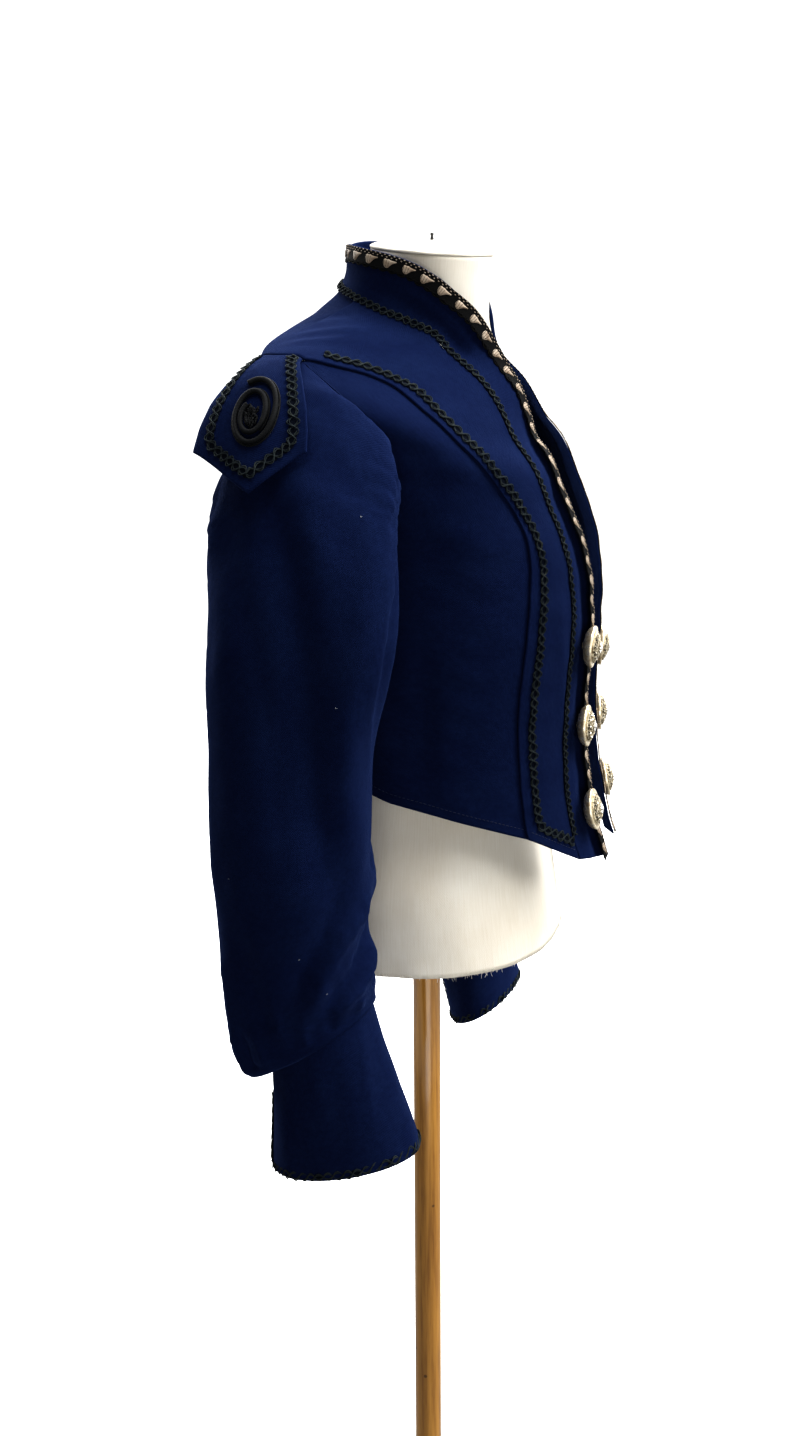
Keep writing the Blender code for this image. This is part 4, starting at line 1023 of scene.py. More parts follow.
def back_places(front):
    """The back, from side seam, armhole and shoulder to the middle."""
    first = np.concatenate((
        even_line(SIDE_SEAM, SIDE_SEAM_ROWS),
        even_line(armhole_line(len(ARMHOLE), TAB_END), ARMHOLE_BACK_ROWS)[1:],
        front[-1, -2::-1],
    ))
    middle = even_line(CENTRE_BACK, len(first) - 1)
    return strip(first, middle, evenly(BACK_COLUMNS + 1))


fronts = {}
bands = {}
panels = {}
half = SEAM_GAP / 2.0
for side in SIDES:
    front_grid = front_places(side)
    fronts[side] = front_grid
    bands[side] = band_places(side, front_grid)
    for part, grid, low, trims in (
        ("back", back_places(front_grid), 0.0, (half, half, 0.0, 0.0)),
        ("side_front", side_front_places(front_grid), 0.0, (0.0, half, 0.0, 0.0)),
        ("front", front_grid, LAP, (half, 0.0, 0.0, 0.0)),
        ("collar_band", bands[side], LAP, (0.0, half, 0.0, half)),
    ):
        points, normals = jacket_panel(grid, side, trims)
        panels[part, side] = (points, normals, low)
        cut_piece("%s_%s" % (part, side), points, normals, low)


# Sleeves
# Each is cut full at the head, pleated into the armhole under the shoulder tab and gathered into
# the cuff, so it hangs in long folds, hollow over the arm's side and blousing over the wrist.
# Sleeve rings from the armhole down. Each is an oval through an outer and an inner point;
# fore is its half width forward and pitch tips its front up.
# Columns: outer_x, outer_z, inner_x, inner_z, y, fore, pitch
SLEEVE_RINGS = np.array((
    (0.187, 1.326, 0.168, 1.190, 0.0535, 0.0600, 0.0),
    (0.201, 1.314, 0.174, 1.183, 0.0540, 0.0650, 0.0),
    (0.216, 1.297, 0.179, 1.171, 0.0550, 0.0680, 0.0),
    (0.232, 1.273, 0.181, 1.156, 0.0555, 0.0700, 0.0),
    (0.249, 1.248, 0.182, 1.135, 0.0545, 0.071, 0.0),
    (0.270, 1.205, 0.181, 1.105, 0.0530, 0.072, 0.0),
    (0.287, 1.145, 0.180, 1.070, 0.0550, 0.069, 0.0),
    (0.294, 1.075, 0.179, 1.030, 0.0590, 0.063, 0.0),
    (0.297, 1.000, 0.180, 0.985, 0.0605, 0.063, 0.0),
    (0.2965, 0.940, 0.1810, 0.940, 0.0595, 0.0633, 9.0),
    (0.2940, 0.8925, 0.1820, 0.8925, 0.0600, 0.0603, 12.0),
    (0.2905, 0.852, 0.1845, 0.852, 0.0568, 0.0640, 18.2),
    (0.2880, 0.830, 0.1860, 0.830, 0.0538, 0.0673, 28.4),
    (0.2862, 0.816, 0.1880, 0.816, 0.0490, 0.0646, 34.9),
    (0.2832, 0.8168, 0.1908, 0.8168, 0.0386, 0.0520, 34.4),
))

# The left sleeve hangs lower and further forward than the right, by these amounts from this row down
SLEEVE_LOWERED = 11
SLEEVE_REACH = {"right": 0.000, "left": 0.062}
SLEEVE_SWING = {"right": 0.000, "left": 0.036}
# Columns round each stretch of the armhole, and rows from one ring of the table to the next. The
# sleeve's rows are counted from its seam, which lies three rows before the table's first ring.
SLEEVE_SEAM_ROWS = 3
SLEEVE_FRONT = 56
SLEEVE_TOP = 40
SLEEVE_BACK = 56
SLEEVE_FINE = 11

# Folds by their path as (share down the sleeve, angle round it) from the outer side to the front,
# then the half widths on the outer side and the front side of the path, and the rise
SLEEVE_FOLDS = (
    (((-0.06, 52.0), (0.02, 66.0), (0.10, 70.0), (0.20, 66.0), (0.34, 60.0)), 0.016, 0.0045, 0.0065),
    (((-0.03, 78.0), (0.06, 84.0), (0.15, 81.0), (0.30, 74.0), (0.37, 68.0), (0.44, 69.0), (0.51, 80.0)),
     0.018, 0.0040, 0.0080),
    (((0.00, 96.0), (0.10, 100.0), (0.22, 96.0), (0.32, 92.0), (0.40, 88.0), (0.49, 92.0)),
     0.008, 0.0100, 0.0045),
    (((-0.04, -70.0), (0.12, -76.0), (0.32, -70.0)), 0.0045, 0.016, 0.0055),
    (((-0.03, -94.0), (0.14, -98.0), (0.36, -90.0)), 0.0045, 0.014, 0.0050),
    (((-0.02, -116.0), (0.12, -120.0), (0.26, -112.0)), 0.0050, 0.012, 0.0040),
    (((0.20, -30.0), (0.31, -8.0), (0.39, 8.0), (0.45, 20.0), (0.51, 30.0), (0.57, 37.0), (0.65, 42.0)),
     0.034, 0.0170, -0.0130),
    (((0.22, -54.0), (0.36, -38.0), (0.45, -14.0), (0.53, 0.0), (0.63, 10.0)), 0.020, 0.0200, -0.0045),
    (((0.20, 46.0), (0.33, 52.0), (0.45, 50.0), (0.54, 56.0), (0.63, 64.0)), 0.014, 0.0220, 0.0050),
    (((0.40, -72.0), (0.52, -64.0), (0.66, -56.0)), 0.016, 0.0140, 0.0030),
    (((0.60, 60.0), (0.65, 48.0), (0.69, 34.0), (0.73, 20.0), (0.78, 4.0)), 0.012, 0.0110, -0.0045),
    (((0.64, 92.0), (0.67, 78.0), (0.69, 61.0), (0.71, 47.0), (0.74, 35.0), (0.78, 21.0), (0.83, 7.0)),
     0.009, 0.0080, 0.0065),
    (((0.69, 104.0), (0.72, 88.0), (0.75, 66.0), (0.78, 44.0), (0.82, 24.0)), 0.007, 0.0070, -0.0055),
    (((0.72, 108.0), (0.75, 94.0), (0.78, 72.0), (0.81, 50.0), (0.85, 30.0)), 0.007, 0.0070, 0.0055),
    (((0.77, 118.0), (0.80, 98.0), (0.83, 80.0)), 0.006, 0.0060, -0.0045),
    (((0.66, -30.0), (0.74, -24.0), (0.82, -12.0)), 0.014, 0.0140, -0.0045),
    (((0.70, -62.0), (0.77, -54.0), (0.84, -50.0)), 0.008, 0.0080, 0.0030),
    (((0.76, -8.0), (0.82, -4.0), (0.88, -2.0)), 0.006, 0.0060, 0.0030),
    (((0.80, -26.0), (0.85, -24.0), (0.90, -22.0)), 0.005, 0.0050, 0.0030),
    (((0.80, -40.0), (0.86, -38.0), (0.91, -36.0)), 0.004, 0.0040, -0.0030),
    (((0.81, -54.0), (0.87, -52.0), (0.92, -50.0)), 0.004, 0.0040, 0.0026),
    (((0.82, 14.0), (0.87, 12.0), (0.92, 12.0)), 0.005, 0.0050, 0.0026),
    (((0.84, 32.0), (0.88, 32.0), (0.92, 32.0)), 0.004, 0.0040, -0.0024),
    (((0.84, 62.0), (0.88, 62.0), (0.93, 62.0)), 0.005, 0.0050, 0.0024),
    (((0.80, -74.0), (0.86, -74.0), (0.92, -72.0)), 0.005, 0.0050, -0.0030),
    (((0.78, -98.0), (0.85, -94.0), (0.92, -92.0)), 0.007, 0.0070, 0.0040),
    (((0.76, -122.0), (0.84, -118.0), (0.92, -116.0)), 0.006, 0.0060, -0.0040),
    (((0.42, -110.0), (0.56, -128.0), (0.72, -150.0)), 0.018, 0.0180, -0.0080),
    (((0.30, -132.0), (0.48, -104.0), (0.66, -92.0)), 0.015, 0.0150, 0.0050),
    (((0.50, 128.0), (0.58, 112.0), (0.64, 96.0)), 0.009, 0.0090, -0.0045),
    (((0.54, 140.0), (0.62, 122.0), (0.68, 110.0)), 0.009, 0.0090, 0.0045),
    (((0.40, 150.0), (0.56, 158.0), (0.76, 150.0)), 0.013, 0.0130, -0.0050),
    (((0.56, -168.0), (0.70, -160.0), (0.84, -150.0)), 0.012, 0.0120, 0.0040),
)
SLEEVE_RIPPLE = 0.0006


def oval(centre, outward, across, forward, fore, phases):
    """Points round an oval. Phase 0 is its outer side, 90 degrees its front."""
    return centre + np.outer(np.cos(phases), outward * across) + np.outer(np.sin(phases), forward * fore)


def forward_way(pitch):
    dip = math.radians(pitch)
    return np.array((0.0, -math.cos(dip), math.sin(dip)))


def sleeve_ring(row, phases):
    outer_x, outer_z, inner_x, inner_z, y, fore, pitch = row
    outer_point = np.array((-outer_x, y, outer_z))
    inner_point = np.array((-inner_x, y, inner_z))
    across = np.linalg.norm(outer_point - inner_point) / 2.0
    outward = unit(outer_point - inner_point)
    return oval((outer_point + inner_point) / 2.0, outward, across, forward_way(pitch), fore, phases)


def sleeve_form(side):
    """The sleeve's plain outer points, with each row's share down it and each point's angle round it."""
    places = np.concatenate((
        even_line(armhole_line(0, TAB_START), SLEEVE_FRONT),
        even_line(armhole_line(TAB_START, TAB_END), SLEEVE_TOP)[1:],
        even_line(armhole_line(TAB_END, len(ARMHOLE)), SLEEVE_BACK)[1:-1],
    ))
    around = len(places)
    edge = ring_point(JACKET_RINGS, places[:, 0], places[:, 1])
    normals = ring_normal(JACKET_RINGS, places[:, 0], places[:, 1])
    middle = edge.mean(axis=0)
    first = edge + unit(middle - edge) * SEAM_GAP
    ways = normals.copy()
    top = slice(SLEEVE_FRONT + 3, SLEEVE_FRONT + SLEEVE_TOP - 2)
    ways[top] = (-1.0, 0.0, 0.0)
    for _ in range(6):
        ways = unit(ways + np.roll(ways, 1, axis=0) + np.roll(ways, -1, axis=0))
    second = first + ways * LAP
    start_phases = np.unwrap(np.arctan2(-(edge[:, 1] - middle[1]), edge[:, 2] - middle[2]))
    start_phases += math.tau * round((math.pi - start_phases[0]) / math.tau)
    even_phases = math.pi - math.tau * np.arange(around) / around
    rows = [first, second, second * 0.5 + sleeve_ring(SLEEVE_RINGS[0], start_phases) * 0.5]
    phase_rows = [start_phases] * SLEEVE_SEAM_ROWS
    for index, row in enumerate(SLEEVE_RINGS):
        share = index / (len(SLEEVE_RINGS) - 1.0)
        even = min(1.0, 2.0 * share)
        phases = start_phases * (1.0 - even) + even_phases * even
        lowered = min(1.0, index / SLEEVE_LOWERED)
        shift = np.array((0.0, -SLEEVE_SWING[side] * lowered, -SLEEVE_REACH[side] * lowered))
        rows.append(sleeve_ring(row, phases) + shift)
        phase_rows.append(phases)
    last = len(SLEEVE_RINGS) - 1
    steps = np.concatenate((
        np.linspace(0.0, SLEEVE_SEAM_ROWS, 9)[:-1],
        SLEEVE_SEAM_ROWS + np.linspace(0.0, last, last * SLEEVE_FINE + 1),
    ))
    points = smooth_rows(np.array(rows).reshape(len(rows), -1), steps).reshape(len(steps), around, 3)
    phases = smooth_rows(np.array(phase_rows), steps)
    return points, np.degrees(phases), (steps - SLEEVE_SEAM_ROWS) / last


def tube_normals(points, across):
    """Directions square to a tube's grid of points, away from its middle."""
    normals = unit(np.cross(across, np.gradient(points, axis=0)))
    return normals * np.sign(np.sum(normals * (points - points.mean(axis=1, keepdims=True))))


def closed_normals(points):
    return tube_normals(points, np.roll(points, -1, axis=1) - np.roll(points, 1, axis=1))


def angle_gap(first, second):
    """How far one angle is past another, from -180 to 180 degrees."""
    return (first - second + 180.0) % 360.0 - 180.0


def sleeve_fold_height(points, phases, shares, shift):
    """How far the folds lift each point of the sleeve, from the listed paths on it."""
    height = np.zeros(points.shape[:-1])
    share_grid = np.broadcast_to(shares[:, None], height.shape)
    for path, outer_width, front_width, rise in SLEEVE_FOLDS:
        path = np.array(path) + shift
        fine = smooth_rows(path, np.linspace(0.0, len(path) - 1.0, 26))
        spots = []
        for share, phase in fine:
            row = int(np.abs(shares - share).argmin())
            column = int(np.abs(angle_gap(phases[row], phase)).argmin())
            spots.append(points[row, column])
        spots = np.array(spots)
        away = np.full(height.shape, 9.0)
        along = np.zeros(height.shape)
        for index in range(len(spots) - 1):
            span = spots[index + 1] - spots[index]
            part = np.sum((points - spots[index]) * span, axis=-1) / max(np.sum(span * span), 1e-9)
            part = np.clip(part, 0.0, 1.0)
            distance = np.linalg.norm(points - spots[index] - part[..., None] * span, axis=-1)
            nearer = distance < away
            away = np.where(nearer, distance, away)
            along = np.where(nearer, (index + part) / (len(spots) - 1.0), along)
        in_front = angle_gap(phases, np.interp(share_grid, fine[:, 0], fine[:, 1])) > 0.0
        width = np.where(in_front, front_width, outer_width)
        fade = smooth_step(along * 4.0) * smooth_step((1.0 - along) * 4.0)
        height += rise * (0.12 + 0.88 * fade) * np.exp(-((away / width) ** 1.7))
    return height


# The left sleeve's folds are the right's, moved by a share and an angle and a little weaker.
# Columns: share, angle, strength, place in the noise
SLEEVE_SIDES = {"right": (0.0, 0.0, 1.0, 0.0), "left": (0.015, 7.0, 0.9, 2.0)}
# Beneath the shoulder tab no fold stands up: the angles and the share of the sleeve that it covers
TAB_FRONT_ANGLE = 40.0
TAB_BACK_ANGLE = -82.0
TAB_SHARE = 0.27
sleeves = {}
for side, (share_shift, angle_shift, strength, noise_place) in SLEEVE_SIDES.items():
    points, phases, shares = sleeve_form(side)
    height = sleeve_fold_height(points, phases, shares, (share_shift, angle_shift)) * strength
    height += wave_noise(points * (1.0, 1.0, 0.5) + noise_place, 0.034, 31) * SLEEVE_RIPPLE
    beneath_tab = smooth_step((TAB_FRONT_ANGLE - phases) / 18.0)
    beneath_tab = beneath_tab * smooth_step((phases - TAB_BACK_ANGLE) / 14.0)
    beneath_tab = beneath_tab * smooth_step((TAB_SHARE - shares)[:, None] / 0.08)
    height = np.where(height > 0.0, height * (1.0 - beneath_tab), height)
    sewn = smooth_step((shares + 0.16)[:, None] * 9.0) * smooth_step((0.985 - shares)[:, None] * 14.0)
    points = points + closed_normals(points) * (height * sewn)[..., None]
    normals = mirror_side(closed_normals(points), side)
    points = mirror_side(points, side)
    sleeves[side] = (points, normals, phases, shares)
    cut_piece("sleeve_" + side, points, normals, -CLOTH, closed=True)


# Cuffs
# A deep gauntlet with a stiff interlining, sewn to the gathered wrist, spreading to the hem and
# left open down the back of the wrist.
# Rings from the wrist seam to the hem.
# Columns: y, z, half width across, half width forward, pitch
CUFF_RINGS = {
    "right": np.array((
        (0.0399, 0.8190, 0.0435, 0.0495, 35.9),
        (0.0340, 0.7860, 0.0440, 0.0515, 28.0),
        (0.0270, 0.7460, 0.0450, 0.0575, 19.0),
        (0.0200, 0.7095, 0.0460, 0.0625, 11.6),
    )),
    "left": np.array((
        (0.0399, 0.8190, 0.0435, 0.0495, 35.9),
        (0.0340, 0.7860, 0.0490, 0.0440, 33.0),
        (0.0270, 0.7460, 0.0560, 0.0405, 31.0),
        (0.0200, 0.7095, 0.0610, 0.0385, 29.0),
    )),
}
CUFF_OUT = 0.237
CUFF_SLIT = 4.0
CUFF_RIPPLE = 0.0005
CUFF_ROWS = 44
CUFF_COLUMNS = 150
# Creases: start share down the cuff, start angle, end share, end angle, half width, rise
CUFF_CREASES = np.array((
    (0.02, 62.0, 0.70, 40.0, 0.0060, 0.0013),
    (0.10, 20.0, 0.95, 8.0, 0.0110, -0.0014),
    (0.30, 84.0, 1.00, 74.0, 0.0090, 0.0012),
    (0.05, -30.0, 0.90, -40.0, 0.0100, 0.0014),
    (0.20, 120.0, 0.95, 130.0, 0.0120, -0.0014),
    (0.00, 160.0, 0.80, 170.0, 0.0100, 0.0012),
    (0.15, 220.0, 1.00, 214.0, 0.0120, -0.0012),
))


def cuff_grid(side):
    """The gauntlet's outer points and directions, open down the back of the wrist."""
    degrees = np.linspace(-90.0 + CUFF_SLIT / 2.0, 270.0 - CUFF_SLIT / 2.0, CUFF_COLUMNS)
    rows = []
    for place in np.linspace(0.0, 3.0, CUFF_ROWS):
        y, z, across, fore, pitch = smooth_rows(CUFF_RINGS[side], place)
        centre = np.array((-CUFF_OUT, y - SLEEVE_SWING[side], z - SLEEVE_REACH[side]))
        outward = np.array((-1.0, 0.0, 0.0))
        rows.append(oval(centre, outward, across, forward_way(pitch), fore, np.radians(degrees)))
    points = np.array(rows)
    normals = tube_normals(points, np.gradient(points, axis=1))
    starts, ends = (
        [points[int(share * (CUFF_ROWS - 1)), np.abs(degrees - angle).argmin()] for share, angle in spots]
        for spots in (CUFF_CREASES[:, 0:2], CUFF_CREASES[:, 2:4])
    )
    lift = crease_height(points, starts, ends, CUFF_CREASES[:, 4], CUFF_CREASES[:, 5])
    lift += wave_noise(points + (0.0 if side == "right" else 1.0), 0.030, 41) * CUFF_RIPPLE
    down = evenly(CUFF_ROWS)[:, None]
    points = points + normals * (lift * smooth_step(down * 4.0))[..., None]
    return mirror_side(points, side), mirror_side(normals, side)


cuffs = {}
for side in SIDES:
    points, normals = cuff_grid(side)
    cuffs[side] = (points, normals)
    cut_piece("cuff_" + side, points, normals, -CLOTH)


# Shoulder tabs
# A five-sided flap cut in one with the shoulder, lined and turned out, that falls over the head
# of the sleeve to a point.
# Columns: distance from the shoulder edge, slope below level, width there
TAB_ROWS = np.array((
    (0.000, 10.0, 0.060),
    (0.020, 24.0, 0.074),
    (0.040, 38.0, 0.090),
    (0.060, 48.0, 0.104),
    (0.080, 56.0, 0.113),
    (0.098, 60.0, 0.117),
    (0.134, 62.0, 0.117),
))
TAB_SIDE = 0.098
TAB_LENGTH = 0.134
TAB_PIVOT = 0.43
TAB_TURN = 0.012
TAB_TIP_FORWARD = 0.007
TAB_RIPPLE = 0.0004
TAB_ROWS_FINE = 46
TAB_STEPS = 24


def tab_grid(side):
    """The tab's inner points and directions, from the shoulder edge outward and down."""
    shoulder = fronts[side][-(SHOULDER_ROWS + 1):]
    edge, edge_normals = jacket_point(shoulder[:, -1], 0.0, side)
    beside, _ = jacket_point(shoulder[:, -2], 0.0, side)
    edge = mirror_side(edge, side)
    edge_normals = mirror_side(edge_normals, side)
    along = unit(edge - mirror_side(beside, side))
    starts = edge + edge_normals * LAP + along * SEAM_GAP
    columns = evenly(SHOULDER_ROWS + 1)
    grid = []
    for share in evenly(TAB_ROWS_FINE):
        row = []
        for column, start, way in zip(columns, starts, along):
            point_share = 1.0 - abs(2.0 * column - 1.0)
            distance = (TAB_SIDE + (TAB_LENGTH - TAB_SIDE) * point_share) * share
            steps = np.linspace(0.0, distance, TAB_STEPS + 1)
            middle = (steps[1:] + steps[:-1]) / 2.0
            slope = np.radians(np.interp(middle, TAB_ROWS[:, 0], TAB_ROWS[:, 1]))
            spread = np.interp(distance, TAB_ROWS[:, 0], TAB_ROWS[:, 2]) - TAB_ROWS[0, 2]
            turned = np.minimum(1.0, middle / TAB_TURN)[:, None]
            table_way = np.stack((-np.cos(slope), np.zeros(len(slope)), -np.sin(slope)), -1)
            ways = unit(way * (1.0 - turned) + table_way * turned)
            place = start + ways.sum(axis=0) * (distance / TAB_STEPS)
            sideways = spread * (column - TAB_PIVOT) - TAB_TIP_FORWARD * point_share * share
            row.append(place + np.array((0.0, sideways, 0.0)))
        grid.append(row)
    points = np.array(grid)
    normals = unit(np.cross(np.gradient(points, axis=1), np.gradient(points, axis=0)))
    normals = -normals if normals[:, :, 0].mean() > 0.0 else normals
    fixed = smooth_step(evenly(TAB_ROWS_FINE) * 8.0)[:, None, None]
    normals = unit(edge_normals * (1.0 - fixed) + normals * fixed)
    lift = TAB_RIPPLE + wave_noise(points + (0.0 if side == "right" else 1.3), 0.026, 51) * TAB_RIPPLE
    points = points + normals * lift[..., None] * fixed
    return mirror_side(points, side), mirror_side(normals, side)


tabs = {}
for side in SIDES:
    points, normals = tab_grid(side)
    tabs[side] = (points, normals)
    cut_piece("shoulder_tab_" + side, points, normals, 0.0)


# Gimp braid
# Black silk gimp: interlaced cords over a flat tape with a looped edge, stitched down along the
# princess edge and hem, the band seam, the shoulder tabs and the cuffs. Worn to a dull brown-green.
def twisted_strand(tree, across_rate, along_rate):
    """1 on the strands that wind round a cord and 0 between them."""
    axes = add_node(tree, "ShaderNodeSeparateXYZ", {"Vector": cloth_uv(tree)})
    lay = math_node(tree, "MULTIPLY_ADD", axes.outputs["X"], across_rate, 0.0)
    lay = math_node(tree, "MULTIPLY_ADD", axes.outputs["Y"], along_rate, lay)
    return math_node(tree, "MULTIPLY_ADD", math_node(tree, "SINE", lay), 0.5, 0.5)


gimp, tree, shader = new_material("black_gimp", Roughness=0.75, Specular_IOR_Level=0.12)
strand = twisted_strand(tree, 1050.0, 6500.0)
gimp_colour = ramp(tree, noise(tree, object_place(tree), 90.0, 4.0), (
    (0.30, (0.0200, 0.0270, 0.0310)), (0.58, (0.0400, 0.0500, 0.0520)), (0.80, (0.0740, 0.0800, 0.0670)),
))
strand_share = math_node(tree, "MULTIPLY", strand, 0.55)
gimp_colour = mix_colour(tree, strand_share, gimp_colour, (0.0100, 0.0130, 0.0160))
paint(tree, shader, gimp_colour, bump(tree, strand, 0.0003, 0.7))

gimp_ground = speckled(
    "gimp_ground", 900.0, 3.0, ((0.3, (0.0022, 0.0034, 0.0080)), (0.7, (0.0062, 0.0092, 0.0170))),
    (0.0003, 0.6), Roughness=0.85, Specular_IOR_Level=0.08,
)[0]

SPINE_STEP = 0.0011


def read_grid(points, rows, columns):
    """A grid read at fractional rows and columns."""
    rows = np.clip(rows, 0.0, points.shape[0] - 1.001)
    columns = np.clip(columns, 0.0, points.shape[1] - 1.001)
    low_row = rows.astype(int)
    low_column = columns.astype(int)
    row_part = (rows - low_row)[:, None]
    column_part = (columns - low_column)[:, None]
    near, far = (
        points[row, low_column] * (1.0 - column_part) + points[row, low_column + 1] * column_part
        for row in (low_row, low_row + 1)
    )
    return near * (1.0 - row_part) + far * row_part


def softened(values):
    """Each row but the ends, evened out with the rows beside it."""
    return (values[:-2] + 2.0 * values[1:-1] + values[2:]) / 4.0


class Spine:
    """A line along a grid of cloth, with the directions along it, across it and out of the cloth."""

    def __init__(self, points, normals, rows, columns, soften=3):
        path = read_grid(points, rows, columns)
        length = arc_length(path)
        self.count = max(8, int(length[-1] / SPINE_STEP))
        self.length = np.linspace(0.0, length[-1], self.count)
        self.points = read_along(self.length, length, path)
        self.out = unit(read_along(self.length, length, read_grid(normals, rows, columns)))
        for _ in range(soften):
            self.points[1:-1] = softened(self.points)
        self.along = unit(np.gradient(self.points, axis=0))
        for _ in range(4):
            self.along[1:-1] = unit(softened(self.along))
        self.across = unit(np.cross(self.out, self.along))

    def offset(self, sideways, height):
        """The line moved across the cloth and out of it."""
        return self.points + self.across * sideways[:, None] + self.out * height[:, None]

    def ribbon_grid(self, sideways):
        """A grid with one lane for each distance across the cloth, and its directions."""
        lanes = [self.offset(distance, np.zeros(self.count)) for distance in sideways]
        return np.stack(lanes, axis=1), np.repeat(self.out[:, None], len(lanes), axis=1)


# The cords of each braid. Columns: swing to each side, distance from the middle, pitch, start of
# the wave in turns, cord radius, height of its middle, rise and fall where it passes another cord
WIDE_BRAID = (
    (0.0034, 0.0000, 0.0156, 0.00, 0.00055, 0.0011, 0.00045),
    (0.0034, 0.0000, 0.0156, 0.50, 0.00055, 0.0011, 0.00045),
    (0.0021, 0.0000, 0.0156, 0.03, 0.00050, 0.0010, 0.00045),
    (0.0021, 0.0000, 0.0156, 0.53, 0.00050, 0.0010, 0.00045),
)
NARROW_BRAID = (
    (0.0027, 0.0000, 0.0132, 0.00, 0.00055, 0.0010, 0.00040),
    (0.0027, 0.0000, 0.0132, 0.50, 0.00055, 0.0010, 0.00040),
    (0.0012, 0.0000, 0.0132, 0.04, 0.00050, 0.0008, 0.00030),
)
BRAID_TAPE = 0.0004
WIDE_TAPE = 0.0027
NARROW_TAPE = 0.0023
BRAID_CLEAR = 0.0001
INNER_BRAID_CLEAR = 0.0003
BRAID_SETTLE = 0.00045
TAPE_SETTLE = 0.00035
SCALLOP_RISE = 0.0004
SCALLOP_PITCH = 0.0049


def lay_braid(kind, side, spine, cords, half_tape, clear, spread=1.0):
    """Cords over a flat tape along a spine, joined into the piece that stands for a CAD node."""
    name = "%s_braid_%s" % (kind, side)
    settle = wave_noise(spine.points, 0.020, 61)
    stretch = wave_noise(spine.points, 0.030, 63) * 0.12
    uneven = 1.0 + 0.16 * wave_noise(spine.points, 0.013, 62)
    paths = []
    for swing, middle, pitch, start, _, height, passing in cords:
        turn = math.tau * (spine.length / pitch + start + stretch)
        sideways = (middle + swing * np.sin(turn) * uneven) * spread + settle * BRAID_SETTLE
        paths.append(spine.offset(sideways, clear + height + passing * np.cos(turn)))
    braid = tubes(name + "_gimp", paths, [cord[4] for cord in cords], 5, gimp)
    scallop = (half_tape + SCALLOP_RISE * np.sin(math.tau * spine.length / SCALLOP_PITCH)) * spread
    lanes = [scallop * share + settle * TAPE_SETTLE for share in (-1.0, -0.5, 0.5, 1.0)]
    grid, out = spine.ribbon_grid(lanes)
    tape = shell(name + "_tape", grid, out, clear, gimp_ground, thick=BRAID_TAPE, round_edge=0.2)
    tape.data.polygons.foreach_set("material_index", [1] * len(tape.data.polygons))
    braid.data.materials.append(gimp_ground)
    join_pieces(braid, [tape])
    stand_for(braid, name, "black_braid")


def join_pieces(piece, others):
    """Adds the meshes of other pieces to one piece and removes them."""
    mesh = bmesh.new()
    for source in [piece] + others:
        mesh.from_mesh(source.data)
    mesh.to_mesh(piece.data)
    mesh.free()
    for source in others:
        bpy.data.objects.remove(source, do_unlink=True)


def column_at(points, distance):
    """For each row, the fractional column at a cloth distance from its last column."""
    lengths = np.cumsum(np.linalg.norm(np.diff(points, axis=1), axis=-1), axis=1)
    lengths = np.concatenate((np.zeros((len(points), 1)), lengths), axis=1)
    columns = np.arange(points.shape[1], dtype=float)
    return np.array([np.interp(row[-1] - distance, row, columns) for row in lengths])


def rounded_path(grid, corners, bend):
    """A spine along straight runs between corners, given as shares of the rows, then columns."""
    points, normals = grid
    corners = np.array(corners, float)
    path = [corners[0]]
    for before, corner, after in zip(corners[:-2], corners[1:-1], corners[2:]):
        for share in evenly(7):
            start = corner + (before - corner) * bend
            end = corner + (after - corner) * bend
            path.append(start * (1 - share) ** 2 + corner * 2 * share * (1 - share) + end * share ** 2)
    path.append(corners[-1])
    fine = []
    for start, end in zip(path[:-1], path[1:]):
        fine += [start + (end - start) * share for share in evenly(12)[:-1]]
    rows, columns = np.array(fine + [path[-1]]).T
    return Spine(points, normals, rows, columns)


BRAID_MIDDLE = 0.0160
HEM_BRAID_ROW = 4.6
HEM_BRAID_TURN = 3.0
INNER_BRAID_MIDDLE = 0.0020
